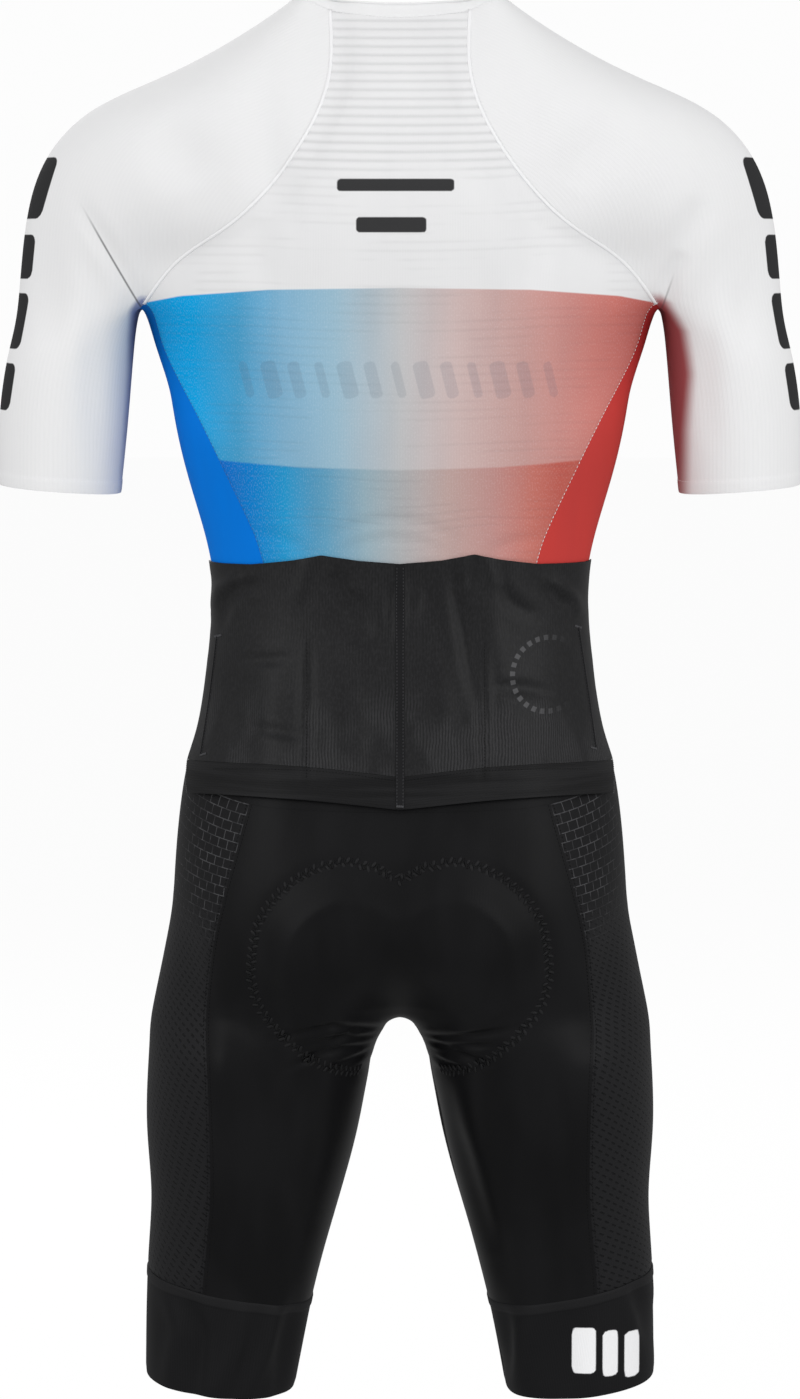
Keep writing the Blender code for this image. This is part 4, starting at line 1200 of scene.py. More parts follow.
def ring_mask(finish):
    """A faint printed ring of dashes, which fades out towards the side."""
    right, up = finish.axis(0) - RING_AT[0], finish.axis(2) - RING_AT[1]
    off = abs(finish.math("SQRT", right * right + up * up) - RING_RADIUS)
    dashes = finish.math("SINE", finish.math("ARCTAN2", up, right) * RING_DASHES)
    line = finish.math("LESS_THAN", off, RING_HALF_WIDTH) * dashes.ease(-.25, .15)
    return line * right.ease(-.018, .016)


def tail_finish(name):
    """A matt knit with a soft shine, ribbed upright on the lower half of the pockets."""
    finish = Finish(name, Roughness=0.50, Specular_IOR_Level=0.16)
    _, across, down = finish.cloth()
    cloud = finish.noise(1.0, (34.0, 34.0, 16.0))
    sway = finish.noise(1.0, (40.0, 40.0, 55.0)) * .0042
    low = finish.axis(2).ease(-.470, -.505) + .30
    ribs = (across + sway).wave(.0022) * (cloud.ease(.40, .60) * low)
    speck = finish.noise(900.0, (1.0, 1.0, .35))
    shade = ribs * .62 + speck.ease(.40, .70) * .30
    colour = finish.mix(shade, (.0058, .0058, .0064, 1), (.0215, .0215, .0230, 1))
    colour = finish.mix(ring_mask(finish) * .24, colour, (.22, .22, .23, 1))
    return finish.done(colour, ribs * .00014 + knit_height(across, down, .00002))


def elastic_finish(name):
    """The tail's elastic hem, with fine level lines."""
    finish = Finish(name, Roughness=0.55, Specular_IOR_Level=0.12)
    lines = finish.cloth()[2].wave(.0017)
    shade = lines * .35 + finish.noise(1.0, (9.0, 9.0, 160.0)).ease(.40, .65)
    colour = finish.mix(shade * .6, (.0034, .0034, .0038, 1), (.0105, .0105, .0112, 1))
    return finish.done(colour, lines * .00008)


# painted highlight: the brick lines are painted lighter, most towards the back seam
EMBOSS_OUTER, EMBOSS_INNER = .158, .122    # the lines catch the light towards the back seam


def embossed_finish(name):
    finish = Finish(name, Roughness=0.55, Specular_IOR_Level=0.10)
    uv, across, down = finish.cloth()
    bricks = finish.node("TexBrick", uv, None, None, None, 1.0, .0005, .4, 0.0, .0094, .0072, out=1)
    rows = (down + across * .55).wave(.0050)
    gaps = (across - down * .50).wave(.0082)
    dashes = rows.ease(.76, .96) * gaps.ease(.30, .55)
    lower = finish.axis(2).ease(-.665, -.615)
    raised = finish.mix(lower, dashes * -1.0, bricks)
    inwards = abs(finish.axis(0)).ease(EMBOSS_OUTER, EMBOSS_INNER)
    # painted highlight on the raised brick lines, patchy and strongest near the back seam
    painted_glints = bricks * (finish.noise(130.0).ease(.42, .62) + .35) * (inwards + .22)
    # painted shade: in the lower zone the sunk dimples are painted darker
    shade = finish.mix(lower, .12 - dashes * .12, painted_glints + .04)
    colour = finish.mix(shade, (.0034, .0034, .0040, 1), (.0520, .0520, .0550, 1))
    return finish.done(colour, raised * .00040)


SHORTS_CLOTH = lycra_finish("black_lycra", (.0052, .0052, .0056, 1), 0.40)
# painted highlight: the puckers are a lighter copy of the black lycra
PUCKER_HIGHLIGHT_CLOTH = lycra_finish("puckered_lycra_highlight", (.0100, .0100, .0105, 1), 0.36)
TAIL_CLOTH = tail_finish("tail_knit")
HEM_CLOTH = elastic_finish("tail_elastic")
SIDE_SHORTS_CLOTH = embossed_finish("embossed_black")


def cuff_finish(name, marked):
    """Gripper band, with a lighter folded strip along its top."""
    finish = Finish(name, Roughness=0.6, Specular_IOR_Level=0.08)
    grain = finish.cloth()[1].wave(.0018)
    colour = finish.mix(finish.edge("strip", .0006), (.0058, .0058, .0064, 1),
                        (.0105, .0105, .0112, 1))
    colour = finish.mix(grain * .25, colour, (.012, .012, .013, 1))
    if marked:
        colour = finish.mix(finish.edge("marks"), colour, (.78, .78, .79, 1))
    return finish.done(colour, grain * .00004)


CUFF_CLOTH = {1: cuff_finish("left_cuff_knit", False), -1: cuff_finish("right_cuff_knit", True)}
print("shorts finishes:", 5 + len(CUFF_CLOTH))

# %% [markdown]
# ## The pieces of the shirt
#
# Each node of the model gets its shell.


def surface_area(quads, points):
    corner = points[quads]
    return float(np.linalg.norm(np.cross(corner[:, 2] - corner[:, 0],
                                         corner[:, 3] - corner[:, 1]), axis=1).sum() / 2)


def wear(name, mesh, finish, quads, points):
    """Put a node's piece in place, hide the plain solid behind it and work out its area."""
    thing = put(name + "_cloth", mesh, finish)
    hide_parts(name)
    surface_area(quads, points)


def whole_rows(mask, spans):
    """Which faces of a piece lie in rows whose mean height is in one of the spans."""
    row = np.floor(QUAD_ROW[mask] * STEPS + 1e-4).astype(int)
    height = SPOTS[QUADS[mask]][:, :, 2].mean(1)
    mean = np.bincount(row, height) / np.maximum(np.bincount(row), 1)
    return np.any([(mean < top) & (mean > low) for top, low in spans], axis=0)[row]


def dress(name, mask, finish, fine=(), outer=None, thick=CLOTH_THICK, fields=None,
          dip=SEAM_DIP):
    """Make the shell of one node. The rows in the fine spans are split in two."""
    piece = pattern_piece(mask)
    if fine:
        piece = split_rows(*piece, 2, whole_rows(mask, fine))
    quads, cloth, points, normals = piece
    over = outer(points) if outer else 0.0
    mesh = shell(name + "_cloth", *piece, over, over - thick, dip)
    for field, values in (fields(points) if fields else {}).items():
        inside = np.full(len(points), -1.0) if field == "marks" else values
        mark_points(mesh, field, np.concatenate([values, inside]))
    wear(name, mesh, finish, quads, points)


def print_fields(points):
    return {"band": below_curve(points, BAND_TOP), "tone": below_curve(points, TONE_LINE),
            "marks": np.where(points[:, 1] > 0,
                              inside_blocks(points[:, 0], points[:, 2], BACK_BLOCKS, .0020), -1),
            "bars": inside_blocks(points[:, 0], points[:, 2], BAND_BLOCKS, .0030),
            "rib": rib_height(points) - RIB_TOP_Z + RIB_PITCH * 0.75}


dress("collar", region(range(len(ZONES)), 0, 1), COLLAR_CLOTH, thick=.0013)
dress("back_panel", region([BACK], 1, BAND_ROW), BACK_CLOTH,
      fine=[(0, -.168), (-.250, -.292)], outer=ribbing, fields=print_fields, dip=.0002)

SLEEVE_HEM, SLEEVE_HEM_RISE, STEP_WIDTH = 0.0085, 0.0004, 0.0012
ARM_RADIUS = 0.044
# the coloured band of the inner arm: print, with painted shade near the armpit
INNER_PRINT_AND_SHADE = {1: ([.19, .205, .215, .235, .255, .30, .345],
                   [-.020, -.002, .0050, .0042, .0022, .0010, .0000]),
               -1: ([.19, .21, .23, .26, .30, .345], [-.020, .004, .014, .015, .008, .003])}


def step_down(room):
    """1 where there is room to spare, 0 where there is none, and a short slope between."""
    return np.clip(room / STEP_WIDTH + .5, 0, 1)


def sleeve_fields(side):
    def fields(points):
        # The blocks run down the outside of the arm, so they are laid out by the distance
        # round it: from the outermost line, positive towards the back.
        down = -points[:, 2]
        outer_x = np.interp(down, [.10, .16, .21, .25, .29, .35],
                            [.247, .2655, .271, .278, .2845, .285])
        inward = np.clip((outer_x - np.abs(points[:, 0])) / ARM_RADIUS, 0, 1.99)
        round_arm = ARM_RADIUS * np.arccos(1 - inward) * np.sign(points[:, 1] - SIDE_Y)
        inner_edge = np.interp(down, [.2150, .2500, .2900, .3450], [.1835, .1885, .1925, .1985])
        width = np.interp(down, *INNER_PRINT_AND_SHADE[side])
        inner = np.minimum(inner_edge + width - np.abs(points[:, 0]), down - .206)
        return {"marks": inside_blocks(round_arm, points[:, 2], ARM_BLOCKS, .0060), "inner": inner}
    return fields


def sleeve_hem(points):
    """The turned-up hem is two layers thick."""
    hem = SLEEVE[-1]
    hem_z = np.interp(np.abs(points[:, 0]), [hem.inner_x, hem.outer_x], [hem.inner_z, hem.outer_z])
    return SLEEVE_HEM_RISE * step_down(SLEEVE_HEM - (points[:, 2] - hem_z))


SIDES = (("left", 1), ("right", -1))
for side_name, sign in SIDES:
    dress("sleeve_" + side_name, region([ARM, UNDER], 1, CUFF_ROW, sign), SLEEVE_CLOTH[sign],
          fine=[(-.331, -1)], outer=sleeve_hem, fields=sleeve_fields(sign), dip=.0002)
    dress("side_panel_" + side_name, region([SIDE], 1, BAND_ROW, sign), SIDE_CLOTH[sign],
          dip=.0003)
    dress("front_" + side_name, region([FRONT], 1, WAIST_ROW, sign), FRONT_CLOTH,
          fields=print_fields, dip=.0002)

# %% [markdown]
# ## The pieces of the shorts
#
# The shorts follow the same recipe. The gripper cuffs have a folded strip along the top, which
# stands a little proud, so the rows that it lies in are split finer to take that small step. Low
# on the seat the stitching gathers the cloth, so those rows are split too, for the wrinkles.

# %% Cut and dress the shorts
WRINKLES = folds_from(1, [
    (4.2, -2, 15, -721.5, 46, -713.1, 74, -718.4, 90, -722.2),
    (4, -1.8, 16, -728.5, 42.8, -722.9, 70, -727.2),
    (4, -1.8, 20, -735, 39.7, -731.7, 60, -735.4, 81, -744.5),
    (3.6, -1.5, 21, -740.5, 36.7, -743.2, 51, -745.5),
    (3.8, -1.4, 27, -717.5, 48.9, -728.2, 65, -734),
    (4.2, -2, -14, -729, -41, -722.6, -65.6, -717.5, -86, -713),
    (4, -2, -17, -735, -44, -729.3, -73, -726.2),
    (3.8, -1.7, -19, -740.2, -41.2, -737.1, -64, -741),
    (3.6, -1.4, -22, -744, -33, -746.5, -44, -747.5),
    (3.6, -1.4, -18, -731.5, -35, -735, -54, -736.3),
])
HALF = UNDER_COLS / 2         # the middle column of the inside of the leg
STRIP_HEIGHT, STRIP_RISE, STRIP_SPLIT = 0.0068, 0.0006, 4
STRIP_ROWS = 4                # rows of small faces that the strip and its edge lie in


def dress_cuff(name, sign):
    mask = region(range(len(ZONES)), CUFF_ROW, math.inf, sign)
    fine = QUAD_ROW[mask] < CUFF_ROW + STRIP_ROWS / STEPS
    piece = split_rows(*pattern_piece(mask), STRIP_SPLIT, fine)
    quads, cloth, points, normals = piece
    zones = np.concatenate([QUAD_ZONE[mask][~fine], np.tile(QUAD_ZONE[mask][fine], STRIP_SPLIT)])
    from_top = np.zeros(len(points))
    for zone in np.unique(zones):
        down = cloth[zones == zone][:, :, 1]
        from_top[quads[zones == zone]] = down - down.min()
    over = STRIP_RISE * step_down(STRIP_HEIGHT - from_top)
    mesh = shell(name + "_cloth", *piece, over, -CLOTH_THICK)
    marks = inside_blocks(points[:, 0], points[:, 2], CUFF_BLOCKS, .003)
    mark_points(mesh, "strip", np.tile(STRIP_HEIGHT - from_top, 2))
    mark_points(mesh, "marks", np.tile(marks - (points[:, 1] <= SIDE_Y), 2))
    wear(name, mesh, CUFF_CLOTH[sign], quads, points)


for side_name, sign in SIDES:
    inside = region([INNER], WAIST_ROW, CUFF_ROW, sign)
    dress("shorts_back_" + side_name,
          region([BACK], WAIST_ROW, CUFF_ROW, sign) | inside & (QUAD_COLUMN > HALF), SHORTS_CLOTH,
          fine=[(-.702, -.757)],
          outer=lambda points: fold_relief(points, WRINKLES), dip=.0001)
    dress("shorts_front_" + side_name,
          region([FRONT], WAIST_ROW, CUFF_ROW, sign) | inside & (QUAD_COLUMN < HALF), SHORTS_CLOTH)
    dress("shorts_side_" + side_name, region([SIDE], WAIST_ROW, CUFF_ROW, sign),
          SIDE_SHORTS_CLOTH)
    dress_cuff("cuff_" + side_name, sign)
dress("waistband_back", region([BACK, SIDE], BAND_ROW, WAIST_ROW), SHORTS_CLOTH)

# %% [markdown]
# ## The tail
#
# The tail is a pocket panel sewn on along its top edge. It stands a little off the back and ends
# in an elastic hem whose corners are drawn inwards. It does not follow the columns of the suit,
# so it gets a grid of its own: every point is found by a level ray from the middle of the body to
# the skin, and then lifted off it.

# %% Hang the tail on the back
TAIL_TOP = [(-.1346, -.3925), (-.098, -.3915), (-.070, -.3875), (-.0522, -.3838), (-.030, -.3878),
            (.000, -.3902), (.030, -.3880), (.0557, -.3845), (.075, -.3882), (.1052, -.3922),
            (.1346, -.3932)]
TAIL_HEM_Z, TAIL_HEM_BAND, TAIL_HEM_RISE, TAIL_HEM_WAVE = -.5600, .0220, .0070, .1550
TAIL_TOP_LIFT, TAIL_LIFT, TAIL_WALL, TAIL_CLEAR = .0004, .0030, .0011, .0007
TAIL_ACROSS, TAIL_DOWN, HEM_DOWN = 168, 112, 16
TAIL_BEND, TAIL_EYE_Z = 48, -.47     # the turn from which the corners are drawn in; mid-height
FOLD_GAIN, FOLD_DEEPEST = 1.3, .0026


def skin_around(z, turn):
    """Where a level line from the body's middle meets the skin, turn degrees from the back."""
    heading = Vector((math.sin(math.radians(turn)), math.cos(math.radians(turn)), 0))
    spot, normal, _, _ = SKIN_TREE.ray_cast(Vector((0, SIDE_Y, z)), heading)
    return spot, normal if normal.dot(heading) > 0 else -normal


def tail_hem_z(x):
    return TAIL_HEM_Z + TAIL_HEM_RISE * math.sin(math.pi * abs(x) / TAIL_HEM_WAVE)


def tail_turn(share, corner):
    """Degrees from the back for a share from -1 to 1 across the tail."""
    turn = 90 * abs(share)
    if turn > TAIL_BEND:
        turn = lerp(TAIL_BEND, corner, (turn - TAIL_BEND) / (90 - TAIL_BEND))
    return math.copysign(turn, share)


def tail_grid(down, top_z, low_z, top_corner, low_corner, top_share, low_share):
    """Rows of points between two heights, lifted off the skin."""
    points, normals = [], []
    for step in range(down + 1):
        share_down = step / down
        for c in range(TAIL_ACROSS + 1):
            share = 2 * c / TAIL_ACROSS - 1
            corner = lerp(top_corner, low_corner, share_down)
            turn = tail_turn(share, corner)
            spot, _ = skin_around(TAIL_EYE_Z, turn)
            z = lerp(top_z(spot.x), low_z(spot.x), share_down)
            spot, normal = skin_around(z, turn)
            hang = min(1, 2 * lerp(top_share, low_share, share_down))
            points.append(spot + normal * lerp(TAIL_TOP_LIFT, TAIL_LIFT, hang))
            normals.append(normal)
    return np.array([p[:] for p in points]), np.array([n[:] for n in normals])


def grid_quads(rows, columns):
    index = np.arange(rows * columns).reshape(rows, columns)
    return np.stack([index[:-1, :-1], index[:-1, 1:], index[1:, 1:], index[1:, :-1]],
                    2).reshape(-1, 4)


def grid_cloth(points, quads, down, start):
    """The cloth map of a grid, in metres from its middle column and its first row."""
    grid = points.reshape(down + 1, TAIL_ACROSS + 1, 3)
    across, fall = measure_grid(grid, TAIL_ACROSS // 2)
    cloth = np.stack([across, np.repeat(fall[:, None] + start, TAIL_ACROSS + 1, 1)], 2)
    return cloth.reshape(-1, 2)[quads]


def tail_top_z(x):
    xs, zs = zip(*TAIL_TOP)
    return float(np.interp(x, xs, zs))


TAIL_FOLDS = folds_from(1, [
    # puckers under the two peaks of the top edge, and the cloth drawn to them
    (5.5, -1.4, 55.7, -380, 54.5, -396, 50, -411),
    (6, 1, 63, -383, 67, -400, 72, -420),
    (5.5, -1.4, -52.2, -380, -51, -394, -47, -408),
    (6, 0.9, -60, -384, -64, -400, -70, -418),
    (11, -2.4, 46.1, -395, 41.6, -413, 31.6, -421.2, 19.4, -443.7),
    (6, -1.4, 4.9, -400, 6.9, -422.9, 8, -446),
    (8, -1.8, -7.7, -390, -10.7, -409.6, -7.6, -436),
    # drawn to the upper corners
    (6, 1.8, 106, -400, 114.5, -403.6, 126.4, -410.6, 131.7, -430),
    (6, -1.8, 96, -405, 111.8, -410.1, 121.6, -420.3, 126, -440),
    (6, 1.6, -104, -403, -111.3, -406.5, -121.7, -416.8, -127.5, -432),
    (6, -1.4, -98, -406, -108, -415, -117, -426),
    (7, -1.3, -67.5, -405, -79, -419.4, -94, -430),
    # the pocket's two dividers, each a ridge with a trough beside it
    (4.2, 1, 66.5, -445, 67, -495, 66.8, -540),
    (4.2, -1, 62.5, -445, 63.2, -495, 63.4, -542),
    (7, -2, -36, -390, -39, -412, -43.5, -434, -48, -460, -55.5, -496),
    (4.4, -1, -54.5, -480, -56.6, -510, -57.4, -542),
    (4.4, 0.9, -60.5, -440, -61, -490, -60.8, -540),
    (11, 1.3, -60, -408, -66, -440, -71, -476),
    # slack cloth of the pockets
    (6, -1, 112, -460, 100, -459.7, 74, -456),
    (6, -1.1, 108, -505, 90, -507, 64, -509.2),
    (7, -1.4, -64, -477.4, -85.6, -477.3, -110, -484.5),
    (15, -1.8, 119, -456, 115, -498, 111, -538),
    (13, 1.2, 88, -460, 90, -490, 88, -525),
    (14, -1.4, -118, -480, -116, -510, -112, -538),
    (12, -1.2, 33, -470, 30, -505, 32, -538),
    (13, 1.1, -26, -450, -29, -490, -30, -535),
])


def make_tail(name, down, top_z, low_z, corners, shares, start, finish):
    points, normals = tail_grid(down, top_z, low_z, *corners, *shares)
    quads = grid_quads(down + 1, TAIL_ACROSS + 1)[:, ::-1]
    cloth = grid_cloth(points, quads, down, start)
    share_down = np.repeat(np.arange(down + 1) / down, TAIL_ACROSS + 1)
    hang = np.minimum(1, 2 * lerp(*shares, share_down))
    room = lerp(TAIL_TOP_LIFT, TAIL_LIFT, hang) + TAIL_WALL - TAIL_CLEAR
    folds = np.maximum(fold_relief(points, TAIL_FOLDS) * FOLD_GAIN,
                       -np.minimum(room, FOLD_DEEPEST))
    over = TAIL_WALL + folds
    mesh = shell(name + "_cloth", quads, cloth, points, normals, over, over - TAIL_WALL, 0)
    wear(name, mesh, finish, quads, points)
    return points + normals * over[:, None], quads


TAIL_SHEETS = [
    make_tail("tail_panel", TAIL_DOWN, tail_top_z, lambda x: tail_hem_z(x) + TAIL_HEM_BAND,
              (90, 82), (0, 1), 0, TAIL_CLOTH),
    make_tail("tail_hem", HEM_DOWN, lambda x: tail_hem_z(x) + TAIL_HEM_BAND - .0002, tail_hem_z,
              (82, 76), (1, 1), .16, HEM_CLOTH)]

# %% [markdown]
# ## Sewing
#
# Stitches are small, but they are what makes a garment look made. One stitch is modelled once, as
# a short rounded grain of thread, and thousands of copies are laid from hole to hole along lines
# on the cloth. A plain seam is a row of them, a flat seam has two rows, and a zigzag goes from
# side to side. Each group of lines is joined in one mesh.

# %% Model one stitch
def begin():
    bpy.ops.object.select_all(action="DESELECT")


@contextmanager
def edit_mode(action):
    """Work on the active mesh with all of it selected, or nothing."""
    bpy.ops.object.mode_set(mode="EDIT")
    bpy.ops.mesh.select_all(action=action)
    yield
    bpy.ops.object.mode_set(mode="OBJECT")


def make_stitch():
    begin()
    bpy.ops.mesh.primitive_uv_sphere_add(segments=6, ring_count=4, radius=0.5)
    with edit_mode("SELECT"):
        bpy.ops.transform.rotate(value=math.pi / 2, orient_axis="Y", center_override=(0, 0, 0))
        bpy.ops.mesh.quads_convert_to_tris()
    grain = bpy.context.object
    corners = read_vectors(grain.data.vertices, "co", 3)
    faces = read_vectors(grain.data.loops, "vertex_index", 1).astype(int).reshape(-1, 3)
    bpy.data.objects.remove(grain, do_unlink=True)
    return corners, faces


STITCH, STITCH_FACES = make_stitch()
print("a stitch has", len(STITCH_FACES), "faces")

# %% [markdown]
# Lines are found in three ways: down a seam, which is the edge between two zones of the pattern,
# around a ring of it, or by rays from behind through points that were read off the photograph.

# %% Find lines on the cloth
NEAR = 1e-4                   # columns and rows closer than this are the same


def in_order(zone, side, corners, axis):
    """The points of a zone at some corners of its faces, in the order of columns or rows."""
    at = ((QUAD_ZONE == zone) & (QUAD_SIDE == side))[:, None] & corners
    _, index = np.unique(np.round(CUT[:, :, axis][at], 4), return_index=True)
    return QUADS[at][index]


def seam(zone, column, side, first_row, last_row):
    """Points and normals down the edge of a zone's column."""
    verts = in_order(zone, side, (np.abs(CUT[:, :, 0] - column) < NEAR)
                     & (CUT[:, :, 1] > first_row - NEAR) & (CUT[:, :, 1] < last_row + NEAR), 1)
    return SPOTS[verts], NORMALS[verts]


def around(zones, row, side):
    """Points and normals along a ring of the pattern, through its zones in their order."""
    upper = math.floor(row * STEPS)
    above, below = (np.concatenate([in_order(zone, side, np.abs(CUT[:, :, 1] - level / STEPS) < NEAR,
                                             0) for zone in zones]) for level in (upper, upper + 1))
    share = row * STEPS - upper
    return lerp(SPOTS[above], SPOTS[below], share), lerp(NORMALS[above], NORMALS[below], share)


def on_cloth(line, tree, step=.0015):
    """A line in the plane of the photograph, laid on the cloth by level rays from behind."""
    line = np.array(line)
    along = lengths_along(line)
    marks = np.linspace(0, along[-1], max(3, int(along[-1] / step)))
    points, normals = [], []
    for x, z in zip(np.interp(marks, along, line[:, 0]), np.interp(marks, along, line[:, 1])):
        spot, normal, _, _ = tree.ray_cast(Vector((x, 1, z)), Vector((0, -1, 0)))
        if spot:
            points.append(spot[:])
            normals.append((normal if normal.y > 0 else -normal)[:])
    return np.array(points), np.array(normals)


def stations(points, normals, pitch, shift=0.0):
    """Places every pitch metres along a line, with their sideways directions and normals."""
    along = lengths_along(points)
    marks = np.linspace(0, along[-1], max(2, int(round(along[-1] / pitch))) + 1)
    spots = np.stack([np.interp(marks, along, points[:, k]) for k in range(3)], 1)
    ups = unit(np.stack([np.interp(marks, along, normals[:, k]) for k in range(3)], 1))
    aside = unit(np.cross(ups, np.gradient(spots, axis=0)))
    return spots + aside * shift, aside, ups


def running(line, pitch, shift=0.0, fill=0.62):
    """Start, end and normal of each stitch in a plain row beside a line."""
    spots, _, ups = stations(*line, pitch, shift)
    ahead = spots[1:] - spots[:-1]
    return (spots[:-1] + ahead * (1 - fill) / 2, spots[1:] - ahead * (1 - fill) / 2, ups[:-1])


def rows_beside(lines, pitch, shifts=(0.0,)):
    return [running(line, pitch, shift) for line in lines for shift in shifts]


def swings(line, pitch, throw, shift=0.0):
    """Places along a line, half a pitch apart, with a swing to either side in turn."""
    spots, aside, ups = stations(*line, pitch / 2, shift)
    return spots, aside * np.where(np.arange(len(spots)) % 2 == 0, .5, -.5)[:, None] * throw, ups


def zigzag(line, pitch, throw, shift=0.0):
    """Start, end and normal of each stitch of a zigzag, which swings throw metres."""
    spots, swing, ups = swings(line, pitch, throw, shift)
    return (spots + swing)[:-1], (spots + swing)[1:], ups[:-1]


def put_faces(name, points, faces, finish):
    mesh = bpy.data.meshes.new(name)
    mesh.from_pydata(points.tolist(), [], faces.tolist())
    mesh.shade_smooth()
    print(name, len(faces), "faces")
    return put(name, mesh, finish)


def thread(name, groups, width, rise, finish, slot):
    """Lay a copy of the stitch from each start to its end, and join them in one mesh."""
    starts, ends, ups = (np.concatenate(part) for part in zip(*groups))
    ahead = ends - starts
    aside = unit(np.cross(ups, ahead))
    ups = np.cross(unit(ahead), aside)
    middle = (starts + ends) / 2 + ups * rise * 0.3
    points = middle[:, None] + STITCH[None, :, 0:1] * ahead[:, None] \
        + STITCH[None, :, 1:2] * (aside * width)[:, None] \
        + STITCH[None, :, 2:3] * (ups * rise)[:, None]
    faces = STITCH_FACES[None] + np.arange(len(points))[:, None, None] * len(STITCH)
    return put_faces(name, points.reshape(-1, 3), faces.reshape(-1, 3), finish)


def thread_finish(name, colour):
    finish = Finish(name, Roughness=0.7, Specular_IOR_Level=0.15)
    return finish.done(finish.mix(finish.noise(2400.0) * .5, colour, scaled(colour, .6)))


WHITE_THREAD = thread_finish("white_thread", (.84, .84, .85, 1))
BLACK_THREAD = thread_finish("black_thread", (.0035, .0035, .0040, 1))
ON_WHITE = (WHITE_THREAD, "white_knit")            # a thread and the slot that it shares
ON_BLUE = (thread_finish("blue_thread", (.045, .16, .42, 1)), "blue_knit")
ON_BLACK = (BLACK_THREAD, "black_knit")
ON_TAIL = (thread_finish("dark_grey_thread", (.060, .060, .064, 1)), "charcoal_knit")
ON_TAIL_EDGE = (thread_finish("grey_thread", (.20, .20, .205, 1)), "charcoal_knit")
print("threads: 5")

# %% [markdown]
# The raglan seams lie on a narrow raised welt, because a flat seam folds the edges of both
# pieces together. The welt is a low half-round tube along the seam, with a row of stitches on
# each side of it.

# %% Sew the shirt
def welt(points, normals, width, rise):
    """A low rounded ridge along a line, as points and four-sided faces."""
    spots, aside, ups = stations(points, normals, .0030)
    angles = np.arange(8) * math.pi / 4
    rings = spots[:, None] + aside[:, None] * (np.cos(angles) * width / 2)[None, :, None] \
        + ups[:, None] * (np.sin(angles) * rise)[None, :, None]
    index = np.arange(len(spots) * 8).reshape(-1, 8)
    around_ring = np.roll(index, -1, axis=1)
    sides = np.stack([index[:-1], index[1:], around_ring[1:], around_ring[:-1]], 2).reshape(-1, 4)
    cap = np.array([[0, 1, 6, 7], [1, 2, 5, 6], [2, 3, 4, 5]])
    return rings.reshape(-1, 3), np.concatenate([sides, cap, (cap + index[-1, 0])[:, ::-1]])


def put_welts(name, lines, width, rise, finish, slot):
    parts, faces, count = [], [], 0
    for line in lines:
        points, quads = welt(*line, width, rise)
        parts.append(points)
        faces.append(quads + count)
        count += len(points)
    put_faces(name, np.concatenate(parts), np.concatenate(faces), finish)


RAGLAN = [seam(zone, column, side, 1, ARMPIT_ROW)
          for zone, column in ((BACK, BACK_COLS), (FRONT, 0)) for side in (1, -1)]
# painted highlight: the welts take the thread's brighter white, lighter than the cloth they are
# folded from
put_welts("raglan_welts", RAGLAN, .0024, .0005, *ON_WHITE)
thread("raglan_stitches", rows_beside(RAGLAN, .0026, (-.0018, .0018)), .0003, .0003, *ON_WHITE)
for side_name, side, *sewn in (("right", -1, WHITE_THREAD, "red_knit"), ("left", 1, *ON_BLUE)):
    side_seams = [seam(SIDE, 0, side, ARMPIT_ROW, TAIL_ROW + .25),
                  seam(SIDE, UNDER_COLS, side, ARMPIT_ROW, BAND_ROW)]
    thread("side_seam_stitches_" + side_name, rows_beside(side_seams, .0030, (.0006 * side,)),
           .0005, .0005, *sewn)
HEM_RING, CUFF_RING = .050, .075      # metres that the last row of the sleeve and cuff spans
HEM_ROW = ARMPIT_ROW + len(SLEEVE) - SLEEVE_HEM / HEM_RING
HEM_LINES = [around([ARM, UNDER], HEM_ROW, side) for side in (1, -1)]
thread("sleeve_hem_stitches", rows_beside(HEM_LINES, .0028), .0004, .0004, *ON_WHITE)
COLLAR_LINES = [around([BACK, ARM, FRONT], 1 + .35 / STEPS, side) for side in (1, -1)]
thread("collar_stitches", rows_beside(COLLAR_LINES, .0026), .0004, .0004, *ON_WHITE)

# %% [markdown]
# The shorts are sewn with black thread. Round the seat pad goes the large zigzag that holds the
# pad, which is the boldest sewing on the suit: each swing is about 7 mm wide. It lies in the
# groove that was made with the pad.

# %% Sew the shorts
PAD_PITCH, PAD_THROW, PAD_OPEN_Z = .0059, .0074, -.7535
PAD_LINE = np.vstack([PAD_OUTLINE[::-1] * (-1, 1), PAD_OUTLINE[1:]])
PAD_LINE = PAD_LINE[(PAD_LINE[:, 1] > PAD_OPEN_Z) | (np.abs(PAD_LINE[:, 0]) > .030)]
PAD_LINE = PAD_LINE[(np.abs(PAD_LINE[:, 0]) > .0225) | (PAD_LINE[:, 1] > -.65)]
PAD_SEAM = on_cloth(PAD_LINE, SKIN_TREE, .0010)
thread("pad_zigzag", [zigzag(PAD_SEAM, PAD_PITCH, PAD_THROW)], .0013, .0005, *ON_BLACK)


def puckers(line, pitch, throw):
    """The cloth bulges on the open side of every corner of a zigzag."""
    spots, swing, ups = swings(line, pitch, throw)
    ahead = np.gradient(spots, axis=0) * .35
    return spots - swing * 1.20 - ahead, spots + swing * .10 + ahead, ups


